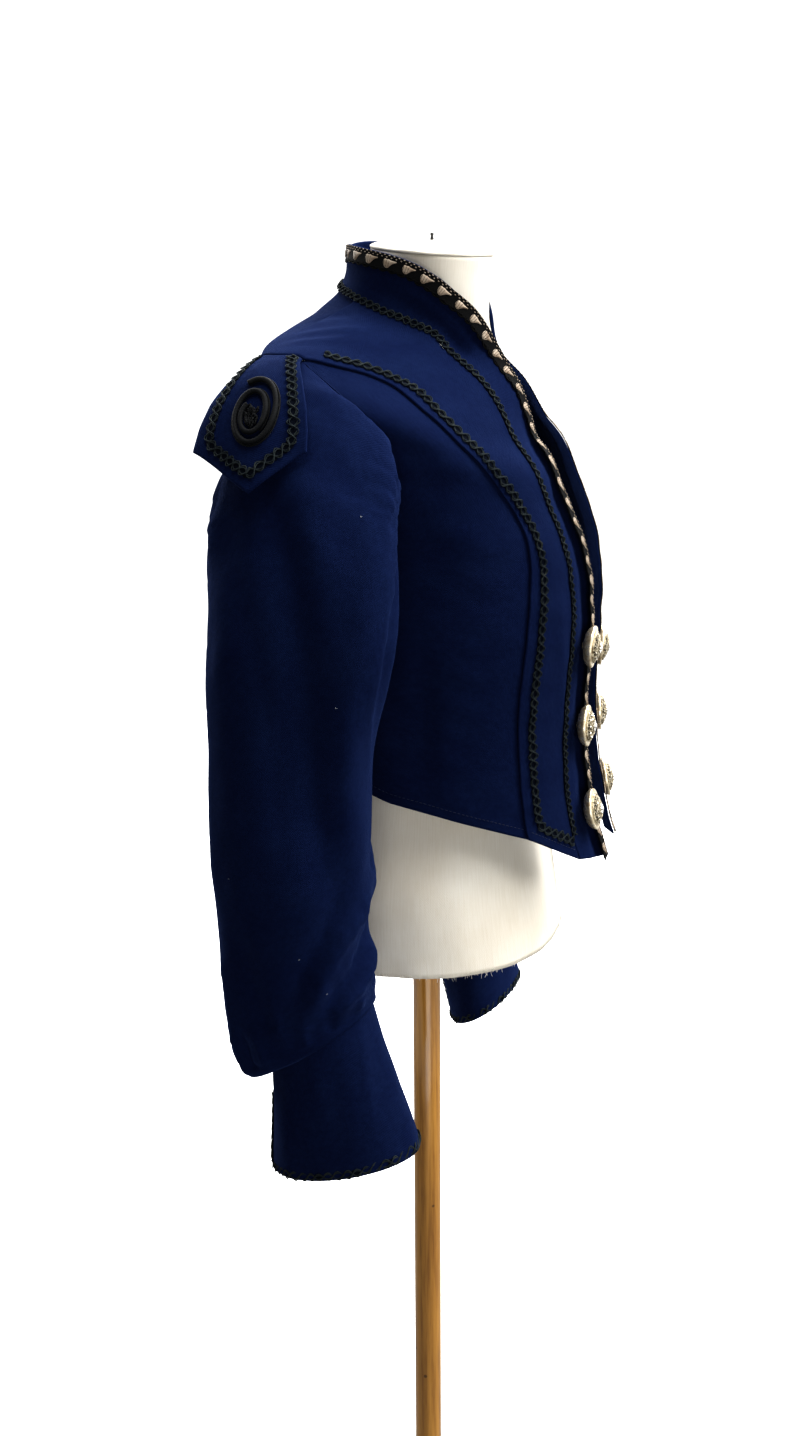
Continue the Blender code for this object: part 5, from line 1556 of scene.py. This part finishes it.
# The tab's braid: share of the rows, share of the columns
TAB_BRAID = ((0.03, 0.16), (0.87, 0.14), (0.89, 0.50), (0.87, 0.86), (0.03, 0.84))
CUFF_BRAID_TOP = 0.32
CUFF_BRAID_HEM = 0.945
CUFF_BRAID_COLUMN = 2.6
TAB_BEND = 0.12
CUFF_BEND = 0.035
TOP_CLEAR = LAP + CLOTH
for side in SIDES:
    points, normals = jacket_point(fronts[side], 0.0, side)
    edge_columns = column_at(points, BRAID_MIDDLE)
    down = np.arange(FRONT_ROWS + len(HEM_STEPS) - 2, HEM_BRAID_ROW + HEM_BRAID_TURN, -1.0)
    turn_shares = evenly(9)
    turn_rows = HEM_BRAID_ROW + HEM_BRAID_TURN * (1.0 - turn_shares) ** 2
    turn_columns = edge_columns[7] - HEM_BRAID_TURN * turn_shares ** 2
    along_hem = np.linspace(turn_columns[-1], 0.9, 40)[1:]
    rows = np.concatenate((down, turn_rows, np.full(len(along_hem), HEM_BRAID_ROW)))
    down_columns = np.interp(down, np.arange(len(edge_columns)), edge_columns)
    spine = Spine(points, normals, rows, np.concatenate((down_columns, turn_columns, along_hem)))
    lay_braid("outer", side, spine, WIDE_BRAID, WIDE_TAPE, TOP_CLEAR + BRAID_CLEAR, spread=1.2)

    points, normals = jacket_point(bands[side], 0.0, side)
    seam_columns = column_at(points, INNER_BRAID_MIDDLE)
    rows = np.arange(len(seam_columns) - 1.0, 5.0, -1.0)
    columns = np.interp(rows, np.arange(len(seam_columns)), seam_columns)
    spine = Spine(points, normals, rows, columns, soften=36)
    clear = TOP_CLEAR + INNER_BRAID_CLEAR
    lay_braid("inner", side, spine, NARROW_BRAID, NARROW_TAPE, clear, spread=1.15)

    last = (TAB_ROWS_FINE - 1.0, float(SHOULDER_ROWS))
    spine = rounded_path(tabs[side], np.array(TAB_BRAID) * last, TAB_BEND)
    lay_braid("tab", side, spine, WIDE_BRAID, WIDE_TAPE, CLOTH + BRAID_CLEAR, spread=1.25)

    top_row, hem_row = ((CUFF_ROWS - 1.0) * share for share in (CUFF_BRAID_TOP, CUFF_BRAID_HEM))
    first, last = CUFF_BRAID_COLUMN, CUFF_COLUMNS - 1.0 - CUFF_BRAID_COLUMN
    corners = ((top_row, first), (hem_row, first), (hem_row, last), (top_row, last))
    spine = rounded_path(cuffs[side], corners, CUFF_BEND)
    lay_braid("cuff", side, spine, WIDE_BRAID, WIDE_TAPE, BRAID_CLEAR)


# Edge ribbon
# A woven black ribbon sewn over the front and collar edge. Its outer edge is a chain of beige
# dots, then come beige half leaves, each with a curved stem, and a looped black inner edge.
RIBBON_SHOWN = 0.0122
LEAF_PITCH = 0.0172
LEAF_MIDDLE = 0.0072
DOT_PITCH = 0.0042
# The chain's two rows of dots: distance from the edge, half length
DOT_ROWS = ((0.0010, 0.00085), (0.0027, 0.00080))
DOT_HALF_WIDTH = 0.00055
DOT_RISE = 0.0006
RIBBON_THICK = 0.0005
RIBBON_CLEAR = 0.0002
EDGING_LIFT = 0.0006
# Half leaf with its stem towards the hem: distance along the ribbon and across it, in metres
LEAF_OUTLINE = np.array((
    (6.4, -2.4), (6.9, -0.5), (6.3, 1.7), (4.6, 3.4), (2.3, 4.0), (0.2, 3.2), (-1.4, 1.5), (-3.0, 0.1),
    (-5.0, -1.0), (-7.4, -2.0), (-7.2, -2.8), (-4.2, -2.7), (-1.0, -2.8), (1.2, -3.4), (3.2, -2.9),
    (5.0, -3.3),
)) * (0.82, 1.0) / 1000.0
# The outline's steps up to the leaf's middle: share of its size, height
LEAF_LEVELS = ((1.0, 0.0), (0.93, 0.00045), (0.55, 0.00075))
LEAF_TOP = 0.0008
LEAF_TOP_SHIFT = 0.002
VEIN_HEIGHT = 0.00072
VEIN_RADIUS = 0.00017
# Start and end of each vein, along and across, in millimetres
LEAF_VEINS = (((4.6, 2.4), (4.9, -2.2)), ((2.3, 3.1), (2.5, -2.4)), ((0.4, 2.2), (0.3, -2.3)))

tape_black, tree, shader = new_material("ribbon_black", Roughness=0.75, Specular_IOR_Level=0.12)
threads = woven(tree, cloth_uv(tree), 2200.0, 0.3)
tape_colour = ramp(tree, threads["Slub"], ((0.3, (0.0014, 0.0015, 0.0019)), (0.7, (0.0040, 0.0039, 0.0040))))
paint(tree, shader, tape_colour, bump(tree, threads["Height"], 0.0002, 0.6))

beige_silk, tree, shader = new_material(
    "ribbon_beige_silk", Roughness=0.55, Sheen_Weight=0.2, Sheen_Roughness=0.3,
)
place = object_place(tree)
silk_colour = ramp(tree, noise(tree, place, 160.0, 4.0), (
    (0.30, (0.210, 0.150, 0.100)), (0.50, (0.370, 0.295, 0.220)), (0.75, (0.460, 0.395, 0.315)),
))
satin = noise(tree, scaled(tree, place, (1.0, 1.0, 0.25)), 2400.0, 2.0)
paint(tree, shader, silk_colour, bump(tree, satin, 0.0002, 0.6))


def edge_spot(spine, along, across, height):
    """Places at distances along a spine, across it and out of it."""
    base, side_way, out = (
        read_along(along, spine.length, values) for values in (spine.points, spine.across, spine.out)
    )
    return base + unit(side_way) * np.reshape(across, (-1, 1)) + unit(out) * np.reshape(height, (-1, 1))


def gather(blocks):
    """Several blocks of points and faces as one."""
    points = []
    faces = []
    for block_points, block_faces in blocks:
        faces += [[index + len(points) for index in face] for face in block_faces]
        points += [tuple(point) for point in block_points]
    return np.array(points), faces


def ring_faces(low, sides, top=None):
    """Faces from a ring of point numbers to the next ring, or to one top point."""
    faces = []
    for index in range(sides):
        after = (index + 1) % sides
        last = (low + sides + after, low + sides + index) if top is None else (top,)
        faces.append((low + index, low + after, *last))
    return faces


# A stitch seen as a small rounded bead: share of its height, share of its size
BEAD_LEVELS = ((0.0, 1.0), (0.75, 0.62))
BEAD_SIDES = 6


def beads(spine, places, across, height, half_length, half_width, half_height):
    """Small rounded stitches at many places along a spine."""
    around = np.linspace(0.0, math.tau, BEAD_SIDES, endpoint=False)
    blocks = []
    for place in places:
        rings = []
        for level, reach in BEAD_LEVELS:
            along = place + half_length * reach * np.cos(around)
            sideways = across + half_width * reach * np.sin(around)
            rings.append(edge_spot(spine, along, sideways, np.full(BEAD_SIDES, height + half_height * level)))
        rings.append(edge_spot(spine, [place], [across], [height + half_height]))
        foot = [tuple(reversed(range(BEAD_SIDES)))]
        faces = ring_faces(0, BEAD_SIDES) + ring_faces(BEAD_SIDES, BEAD_SIDES, 2 * BEAD_SIDES) + foot
        blocks.append((np.concatenate(rings), faces))
    return blocks


def ribbon_motifs(name, spine, inward, clear):
    """The beige leaves and dots, charted on one repeat and set along the spine, and the leaves' veins."""
    draw = np.random.default_rng(71)
    length = spine.length[-1]
    corners = len(LEAF_OUTLINE)
    blocks = []
    veins = []
    for place in np.arange(LEAF_PITCH * 0.5, length - LEAF_PITCH * 0.4, LEAF_PITCH):
        size = draw.uniform(0.92, 1.05)
        lean = draw.uniform(-0.05, 0.05)
        rings = []
        for reach, rise in LEAF_LEVELS:
            shift = LEAF_TOP_SHIFT * (1.0 - reach)
            along = place + shift + LEAF_OUTLINE[:, 0] * reach * size + lean * LEAF_OUTLINE[:, 1]
            across = inward * (LEAF_MIDDLE + LEAF_OUTLINE[:, 1] * reach * size)
            rings.append(edge_spot(spine, along, across, np.full(corners, clear + rise)))
        rings.append(edge_spot(spine, [place + LEAF_TOP_SHIFT], [inward * LEAF_MIDDLE], [clear + LEAF_TOP]))
        faces = ring_faces(0, corners) + ring_faces(corners, corners)
        blocks.append((np.concatenate(rings), faces + ring_faces(2 * corners, corners, 3 * corners)))
        for start, end in LEAF_VEINS:
            way = (np.array(start) + np.outer((0.0, 0.5, 1.0), np.subtract(end, start))) / 1000.0
            across = inward * (LEAF_MIDDLE + way[:, 1])
            veins.append(edge_spot(spine, place + way[:, 0], across, np.full(3, clear + VEIN_HEIGHT)))
    chain = np.arange(DOT_PITCH * 0.5, length, DOT_PITCH)
    for dots, (across, half_length) in zip((chain, chain[:-1] + DOT_PITCH / 2.0), DOT_ROWS):
        blocks += beads(spine, dots, inward * across, clear, half_length, DOT_HALF_WIDTH, DOT_RISE)
    points, faces = gather(blocks)
    piece = grid_object(name, points, faces, points[:, :2], beige_silk)
    mesh = bmesh.new()
    mesh.from_mesh(piece.data)
    bmesh.ops.recalc_face_normals(mesh, faces=mesh.faces)
    mesh.to_mesh(piece.data)
    mesh.free()
    return piece, veins


# The ribbon's edge is cut in scallops, with two looped threads along it.
# Columns: distance of the loops from the front edge, their reach, pitch, thread radius
SCALLOP_REACH = 0.0015
EDGE_LOOPS = ((0.0122, 0.0019, 0.0086, 0.00055), (0.0116, 0.0009, 0.0043, 0.00045))
for side in SIDES:
    points, normals = jacket_point(bands[side], 0.0, side)
    rows = np.arange(0.0, len(points) - 1.0, 1.0)
    spine = Spine(points, normals, rows, np.zeros(len(rows)), soften=1)
    inward = float(np.sign(np.sum(spine.across[5] * (points[5, 3] - points[5, 0]))))
    clear = TOP_CLEAR + RIBBON_CLEAR
    scallop = SCALLOP_REACH * np.abs(np.sin(math.pi * spine.length / EDGE_LOOPS[0][2]))
    grid, out = spine.ribbon_grid([
        inward * (distance + scallop * (distance / RIBBON_SHOWN) ** 6)
        for distance in np.linspace(0.0003, RIBBON_SHOWN, 9)
    ])
    tape = shell("ribbon_%s_tape" % side, grid, out, clear, tape_black, thick=RIBBON_THICK, round_edge=0.2)
    pattern, veins = ribbon_motifs("ribbon_%s_pattern" % side, spine, inward, clear + RIBBON_THICK)
    loops = []
    for start, swing, pitch, _ in EDGE_LOOPS:
        wave = np.abs(np.sin(math.pi * spine.length / pitch))
        height = np.full(spine.count, clear + EDGING_LIFT)
        loops.append(spine.offset(inward * (start + swing * wave), height))
    thread_radii = [loop[3] for loop in EDGE_LOOPS] + [VEIN_RADIUS] * len(veins)
    edging = tubes("ribbon_%s_edging" % side, loops + veins, thread_radii, 4, tape_black)
    stand_for(tape, "ribbon_" + side, "patterned_ribbon")
    belong("patterned_ribbon", pattern, edging)


# Cord rosettes
# A thick black velvet cord coiled flat on each shoulder tab and caught down, with a thin cord along
# its outside. The middle is filled with short knotted loops.
velvet, tree, shader = new_material(
    "black_velvet_cord", Roughness=0.7, Sheen_Weight=0.06, Sheen_Roughness=0.3, Specular_IOR_Level=0.15,
)
ridges = twisted_strand(tree, 2100.0, 2600.0)
velvet_colour = ramp(tree, noise(tree, object_place(tree), 110.0, 4.0), (
    (0.30, (0.0016, 0.0020, 0.0027)), (0.60, (0.0042, 0.0047, 0.0055)), (0.82, (0.0105, 0.0110, 0.0115)),
))
paint(tree, shader, velvet_colour, bump(tree, ridges, 0.0002, 0.35))

ROSETTE_TURNS = 2.0
ROSETTE_FORWARD = 0.0185
ROSETTE_RISE = 0.0300
ROSETTE_INNER = 0.36
ROSETTE_SHIFT_BACK = 0.0022
ROSETTE_SHIFT_DOWN = 0.0034
ROSETTE_START = 2.1
CORD_RADIUS = 0.0021
CORD_CLEAR = 0.0002
EDGE_CORD_RADIUS = 0.0008
EDGE_CORD_OUT = 0.0006
KNOT_LOOPS = 26
KNOT_RADIUS = 0.0007
KNOTS_FORWARD = 0.0060
KNOTS_RISE = 0.0105
KNOT_LEAN = 0.7
KNOT_WIDTH = (0.0008, 0.0013)
KNOT_LENGTH = (0.0022, 0.0034)
KNOT_LIFT = 0.0012
KNOT_PILE = 0.0016
KNOT_TIP = 0.0008


def spot_on(points, normals, places, centre, forward, rise):
    """The places on a grid of cloth under flat places given along two directions from a centre."""
    flat = np.stack(((points - centre) @ forward, (points - centre) @ rise), -1).reshape(-1, 2)
    spots = []
    outs = []
    for place in places:
        distance = np.hypot(flat[:, 0] - place[0], flat[:, 1] - place[1])
        near = np.argsort(distance)[:4]
        weight = 1.0 / (distance[near] + 1e-5)
        weight = (weight / weight.sum())[:, None]
        spot = (points.reshape(-1, 3)[near] * weight).sum(axis=0)
        out = unit((normals.reshape(-1, 3)[near] * weight).sum(axis=0))
        step = np.array(place) - (flat[near] * weight).sum(axis=0)
        spots.append(spot + forward * step[0] + rise * step[1])
        outs.append(out)
    spots = np.array(spots)
    for _ in range(3):
        spots[1:-1] = softened(spots)
    return spots, unit(np.array(outs))


for side in SIDES:
    points, normals = tabs[side]
    centre, up = (grid[len(grid) // 2, grid.shape[1] // 2] for grid in (points, normals))
    forward = unit(np.array((0.0, -1.0, 0.0)) + up * up[1])
    rise = np.cross(up, forward)
    rise = rise * (1.0 if rise[2] > 0.0 else -1.0)
    share = evenly(190)
    turn = -math.tau * ROSETTE_TURNS * (1.0 - share) + ROSETTE_START
    reach = ROSETTE_INNER + (1.0 - ROSETTE_INNER) * share
    ahead = ROSETTE_FORWARD * reach * np.cos(turn) - ROSETTE_SHIFT_BACK * (1.0 - share)
    uphill = ROSETTE_RISE * reach * np.sin(turn) - ROSETTE_SHIFT_DOWN * (1.0 - share)
    path, out = spot_on(points, normals, np.stack((ahead, uphill), -1), centre, forward, rise)
    swell = CORD_RADIUS * (1.0 + 0.06 * np.sin(share * 41.0))
    middle_path = path + out * (CLOTH + CORD_RADIUS + CORD_CLEAR)
    cord = tubes("rosette_%s_velvet" % side, [middle_path], [swell], 14, velvet)
    outside = unit(np.cross(out, unit(np.gradient(path, axis=0))))
    outward = np.sum(outside * (path - path.mean(axis=0)), axis=1).sum()
    outside = outside * (1.0 if outward > 0.0 else -1.0)
    edge_path = path + outside * (CORD_RADIUS + EDGE_CORD_OUT) + out * (CLOTH + EDGE_CORD_RADIUS + CORD_CLEAR)
    draw = np.random.default_rng(81)
    loops = []
    for index in range(KNOT_LOOPS):
        angle = math.tau * index / KNOT_LOOPS + draw.uniform(-0.2, 0.2)
        reach = draw.uniform(0.10, 0.75) ** 0.5
        middle = (
            KNOTS_FORWARD * reach * math.cos(angle) - ROSETTE_SHIFT_BACK,
            KNOTS_RISE * reach * math.sin(angle) - ROSETTE_SHIFT_DOWN,
        )
        turns = np.linspace(0.0, math.tau, 15)
        lean = draw.uniform(-KNOT_LEAN, KNOT_LEAN)
        wide = draw.uniform(*KNOT_WIDTH)
        tall = draw.uniform(*KNOT_LENGTH)
        ring = np.stack((
            middle[0] + wide * np.cos(turns) * math.cos(lean) - tall * np.sin(turns) * math.sin(lean),
            middle[1] + wide * np.cos(turns) * math.sin(lean) + tall * np.sin(turns) * math.cos(lean),
        ), -1)
        spots, ways = spot_on(points, normals, ring, centre, forward, rise)
        height = CLOTH + KNOT_LIFT + draw.uniform(0.0, KNOT_PILE) + KNOT_TIP * np.cos(turns + lean)
        loops.append(spots + ways * height[:, None])
    tuft_radii = [EDGE_CORD_RADIUS] + [KNOT_RADIUS] * len(loops)
    tuft = tubes("rosette_%s_knots" % side, [edge_path[50:]] + loops, tuft_radii, 7, velvet)
    join_pieces(cord, [tuft])
    stand_for(cord, "rosette_" + side, "black_cord")


# Buttons
# Large shell-backed metal buttons: a smooth ivory-gilt cup behind, and in front a dome of pierced
# silver-gilt scrolls with paste stones in collets, the largest in the middle. Sewn by a shank.
BUTTON_HEIGHTS = {"right": (1.100, 1.030, 0.954), "left": (1.076, 1.014, 0.950)}
BUTTON_OUT = {"right": 0.048, "left": 0.055}
BUTTON_LIFT = LAP + CLOTH + SEAM_GAP + 0.0001
# Columns: radius, height above the back of the shank
CUP_PROFILE = (
    (0.0000, 0.0000), (0.0030, 0.0000), (0.0035, 0.0004), (0.0034, 0.0010), (0.0072, 0.0014),
    (0.0116, 0.0024), (0.0148, 0.0042), (0.0168, 0.0065), (0.0176, 0.0084), (0.0178, 0.0095),
    (0.0175, 0.0102), (0.0166, 0.0104), (0.0150, 0.0101), (0.0137, 0.0102), (0.0132, 0.0108),
    (0.0105, 0.0124), (0.0070, 0.0137), (0.0035, 0.0144), (0.0000, 0.0146),
)
SCROLLS_FROM = 0.0106
SCROLL_SHARE = 0.77
DOME_HEIGHT = 0.0150
DOME_RADIUS = 0.0132
DOME_FALL = 0.0042
BUTTON_TURN = math.radians(11.0)
SPIN_STEP = 0.7

gilt, tree, shader, rubbing = speckled(
    "ivory_gilt", 220.0, 5.0,
    ((0.32, (0.440, 0.340, 0.205)), (0.50, (0.720, 0.630, 0.460)), (0.72, (0.850, 0.790, 0.660))),
    (0.0001, 0.25), Roughness=0.26, Metallic=0.65, Specular_IOR_Level=0.6,
)
rubbed_smooth = ramp(tree, rubbing, ((0.3, (0.42,) * 3), (0.7, (0.20,) * 3)))
tree.links.new(rubbed_smooth, shader.inputs["Roughness"])
silver = speckled(
    "oxidised_silver_gilt", 420.0, 4.0,
    ((0.34, (0.110, 0.088, 0.058)), (0.52, (0.420, 0.370, 0.270)), (0.72, (0.740, 0.690, 0.570))),
    (0.0001, 0.3), Roughness=0.34, Metallic=0.9,
)[0]
backing = speckled(
    "oxidised_backing", 380.0, 4.0, ((0.35, (0.012, 0.010, 0.008)), (0.70, (0.090, 0.075, 0.050))),
    Roughness=0.6, Metallic=0.7,
)[0]
paste = speckled(
    "paste_stone", 700.0, 2.0, ((0.35, (0.80, 0.80, 0.79)), (0.70, (0.97, 0.97, 0.95))),
    Roughness=0.04, Metallic=0.85,
)[0]


def dome_spot(radius, angle, lift=0.0):
    """A place on the button's dome, lift metres above it."""
    radius = np.asarray(radius, float) * SCROLL_SHARE
    height = DOME_HEIGHT - DOME_FALL * (radius / DOME_RADIUS) ** 2
    return np.stack((radius * np.cos(angle), radius * np.sin(angle), height + lift), -1)


def twisted_ring(radius, wire, steps, twists, lift):
    """Two wires twisted together round the dome."""
    angles = np.linspace(0.0, math.tau, steps + 1)
    wires = []
    for start in (0.0, math.pi):
        turn = angles * twists + start
        wires.append(dome_spot(radius + wire * 0.8 * np.cos(turn), angles, lift + wire * 0.8 * np.sin(turn)))
    return wires


# Rings of two twisted wires. Columns: distance from the middle, wire radius, steps, twists, height
TWISTED_RINGS = ((0.0166, 0.00050, 150, 30, 0.0003), (0.0096, 0.00038, 100, 22, 0.0006))
# Outer loops that open to the rim, each round a curl, and inner pairs of curls
LOOP_COUNT = 11
LOOP_OUTER = 0.0158
LOOP_DEPTH = 0.0056
LOOP_SWING = 0.235
LOOP_LIFT = 0.0005
LOOP_WIRE = 0.00040
LOOP_CURL_OUT = 0.0128
LOOP_CURL_SIZE = 0.0013
PAIR_COUNT = 7
PAIR_OUT = 0.0070
PAIR_SWING = 0.20
PAIR_SIZE = 0.00165
CURL_LIFT = 0.0006
CURL_WIRE = 0.00034
CURL_STEPS = 15


def filigree_wires():
    """The paths and radii of the button's scrollwork, drawn in rings from the rim to the middle."""
    paths = []
    radii = []
    for ring in TWISTED_RINGS:
        paths += twisted_ring(*ring)
        radii += [ring[1]] * 2
    shares = evenly(19)
    for index in range(LOOP_COUNT):
        middle = math.tau * index / LOOP_COUNT
        swing = LOOP_SWING * np.sin(math.tau * shares)
        reach = LOOP_OUTER - LOOP_DEPTH * np.sin(math.pi * shares) ** 0.8
        curl = np.linspace(0.0, 1.7 * math.pi, CURL_STEPS)
        size = LOOP_CURL_SIZE * (1.0 - 0.42 * curl / curl[-1])
        angle = middle + size * np.sin(curl) / LOOP_CURL_OUT
        paths.append(dome_spot(reach, middle + swing, LOOP_LIFT))
        paths.append(dome_spot(LOOP_CURL_OUT + size * np.cos(curl), angle, CURL_LIFT))
        radii += [LOOP_WIRE, CURL_WIRE]
    for index in range(PAIR_COUNT):
        middle = math.tau * (index + 0.5) / PAIR_COUNT
        for lean in (-1.0, 1.0):
            curl = np.linspace(0.2, 1.9 * math.pi, CURL_STEPS)
            size = PAIR_SIZE * (1.0 - 0.5 * curl / curl[-1])
            angle = middle + lean * (PAIR_SWING + size * np.cos(curl) / PAIR_OUT)
            paths.append(dome_spot(PAIR_OUT + size * np.sin(curl), angle, CURL_LIFT))
            radii.append(CURL_WIRE)
    return paths, radii


def circle(reach, height, sides, start=0.0):
    """Points round a level circle."""
    turns = math.tau * (np.arange(sides) + start) / sides
    return np.stack((reach * np.cos(turns), reach * np.sin(turns), np.full(sides, height)), -1)


def down_faces(low, sides):
    """Faces from a ring of point numbers down to the next ring."""
    return [face[:1] + face[:0:-1] for face in ring_faces(low, sides)]


def ball(centre, radius, rings=4, sides=7):
    """A small ball as points and faces."""
    tilts = math.pi * np.arange(1, rings) / rings
    levels = [circle(radius * math.sin(tilt), radius * math.cos(tilt), sides) for tilt in tilts]
    points = centre + np.concatenate([[(0.0, 0.0, radius)]] + levels + [[(0.0, 0.0, -radius)]])
    faces = [(0, 1 + index, 1 + (index + 1) % sides) for index in range(sides)]
    for ring in range(rings - 2):
        faces += down_faces(1 + ring * sides, sides)
    low = 1 + (rings - 2) * sides
    foot = len(points) - 1
    return points, faces + [(low + index, foot, low + (index + 1) % sides) for index in range(sides)]


# A faceted stone's table, sloping facets and girdle. Columns: turn in facets, reach, height
STONE_LEVELS = ((0.0, 0.55, 0.62), (0.5, 0.86, 0.42), (0.0, 1.0, 0.05), (0.0, 0.9, -0.30))


def cut_stone(centre, radius, sides):
    levels = [circle(radius * reach, radius * height, sides, start) for start, reach, height in STONE_LEVELS]
    faces = [tuple(range(sides))]
    for level in range(len(STONE_LEVELS) - 1):
        faces += down_faces(level * sides, sides)
    return centre + np.concatenate(levels), faces


# Rings of small balls. Columns: distance from the middle, start in turns, height, ball radius
GRAIN_COUNT = 22
GRAIN_RINGS = ((0.0146, 0.0, 0.0003, 0.00062), (0.0112, 0.14, 0.0005, 0.00055))
# Rings of stones in collets. Columns: stones, distance from the middle, start, radius, facets
STONE_RINGS = ((1, 0.0, 0.0, 0.0021, 8), (8, 0.0048, 0.0, 0.00105, 6), (11, 0.0131, 0.286, 0.00075, 5))
COLLET_REACH = 1.08
COLLET_WIRE = 0.17
wires, wire_radii = filigree_wires()
grains = []
for reach, start, lift, radius in GRAIN_RINGS:
    for angle in np.arange(GRAIN_COUNT) * math.tau / GRAIN_COUNT + start:
        grains.append(ball(dome_spot(reach, angle, lift), radius))
stones_cut = []
for count, reach, start, radius, sides in STONE_RINGS:
    for angle in np.arange(count) * math.tau / count + start:
        centre = dome_spot(reach, angle, 0.0008)
        stones_cut.append(cut_stone(centre, radius, sides))
        turns = np.linspace(0.0, math.tau, 17)
        ring = np.stack((np.cos(turns), np.sin(turns), np.zeros(17)), -1)
        wires.append(centre + ring * radius * COLLET_REACH)
        wire_radii.append(radius * COLLET_WIRE)


def band_place(height, out):
    """The ring and angle on the band at a height and a distance from the middle."""
    low_ring = 0.0
    high_ring = 6.0
    for _ in range(40):
        ring = (low_ring + high_ring) / 2.0
        angle = out_angle(np.array(ring), out)
        if ring_point(JACKET_RINGS, ring, angle)[2] < height:
            low_ring = ring
        else:
            high_ring = ring
    return ring, angle


for side in SIDES:
    for index, height in enumerate(BUTTON_HEIGHTS[side], start=1):
        ring, angle = band_place(height, BUTTON_OUT[side])
        way = ring_normal(JACKET_RINGS, ring, angle)
        spot = mirror_side(ring_point(JACKET_RINGS, ring, angle) + way * BUTTON_LIFT, side)
        facing = Matrix.Rotation(BUTTON_TURN * SIDES[side], 3, "Z") @ Vector(mirror_side(way, side))
        tilt = math.acos(max(-1.0, min(1.0, facing[2])))
        turn = Euler((0.0, tilt, math.atan2(facing[1], facing[0]))).to_matrix().to_4x4()
        name = "button_%s_%d" % (side, index)
        cup = object_from_mesh(name + "_cup", lathe_mesh(CUP_PROFILE, 48), gilt)
        for polygon in cup.data.polygons:
            if polygon.center.z > SCROLLS_FROM:
                polygon.material_index = 1
        cup.data.materials.append(backing)
        face = tubes(name + "_filigree", wires, wire_radii, 5, silver)
        points, faces = gather(grains)
        join_pieces(face, [grid_object(name + "_grains", points, faces, points[:, :2], silver)])
        points, faces = gather(stones_cut)
        stones = grid_object(name + "_stones", points, faces, points[:, :2], paste)
        stones.data.polygons.foreach_set("use_smooth", [False] * len(stones.data.polygons))
        for piece in (cup, face, stones):
            piece.matrix_world = Matrix.Translation(spot) @ turn @ Matrix.Rotation(SPIN_STEP * index, 4, "Z")
        stand_for(cup, name, "button_metal")
        belong("button_metal", face, stones)


# Stitches and lint
# A row of navy silk topstitching holds the turned hem, and pale lint and hairs cling to the wool
# where the photo shows them, with a few more on the sides it doesn't show.
STITCH = 0.0026
STITCH_GAP = 0.0010
STITCH_ABOVE_HEM = 0.0085
STITCH_RADIUS = 0.00022

silk = speckled(
    "navy_silk_thread", 300.0, 2.0, ((0.3, (0.0040, 0.0070, 0.024)), (0.7, (0.0120, 0.0190, 0.060))),
    Roughness=0.5, Sheen_Weight=0.15, Sheen_Roughness=0.3,
)[0]
lint = speckled(
    "pale_lint", 500.0, 2.0, ((0.3, (0.34, 0.35, 0.38)), (0.7, (0.62, 0.62, 0.62))),
    Roughness=0.9, Sheen_Weight=0.1, Sheen_Roughness=0.5,
)[0]


def stitch_paths(spine, lift):
    """Short threads along a spine that dip into the cloth at both ends."""
    paths = []
    for start in np.arange(0.002, spine.length[-1] - 0.004, STITCH + STITCH_GAP):
        along = start + STITCH * evenly(5)
        height = lift + STITCH_RADIUS * np.array((-1.0, 0.6, 0.9, 0.6, -1.0))
        paths.append(edge_spot(spine, along, np.zeros(5), height))
    return paths


for side in SIDES:
    paths = []
    for part in ("front", "side_front", "back"):
        points, normals, low = panels[part, side]
        heights = np.cumsum(np.linalg.norm(np.diff(points, axis=0), axis=-1), axis=0)
        rows = [np.interp(STITCH_ABOVE_HEM, column, np.arange(1, len(points))) for column in heights.T]
        columns = np.linspace(0.4, points.shape[1] - 1.4, points.shape[1])
        spine = Spine(points, normals, np.interp(columns, np.arange(points.shape[1]), rows), columns)
        paths += stitch_paths(spine, low + CLOTH)
    belong("navy_wool", tubes("hem_stitches_" + side, paths, [STITCH_RADIUS] * len(paths), 4, silk))

# Lint on the right sleeve as seen, and about as much on the left: share of the length, phase
SLEEVE_LINT = {
    "right": ((0.705, 17.0), (0.763, 33.0), (0.270, 44.0), (0.470, 43.0), (0.610, -38.0), (0.350, 150.0)),
    "left": ((0.180, 62.0), (0.420, 12.0), (0.560, 95.0), (0.730, 40.0), (0.660, -60.0)),
}
LINT_LIFT = 0.0003
LINT_RADIUS = 0.00016
LINT_TURN = (2.0, 4.5)
LINT_SIZE = (0.0006, 0.0012)
draw = np.random.default_rng(91)
for side in SIDES:
    points, normals, phases, shares = sleeves[side]
    paths = []
    for share, phase in SLEEVE_LINT[side]:
        row = int(np.argmin(np.abs(shares - share)))
        column = int(np.argmin(np.abs(angle_gap(phases[row], phase))))
        spot = points[row, column]
        out = normals[row, column]
        first = unit(np.cross(out, draw.normal(size=3)))
        second = np.cross(out, first)
        curl = np.linspace(0.0, draw.uniform(*LINT_TURN), 12)
        size = draw.uniform(*LINT_SIZE)
        hair = first * np.sin(curl)[:, None] + second * (curl * 0.35)[:, None]
        paths.append(spot + out * LINT_LIFT + size * hair)
    belong("navy_wool", tubes("sleeve_lint_" + side, paths, [LINT_RADIUS] * len(paths), 4, lint))


# The CAD model's lowest and highest corners
low, high = cad_box
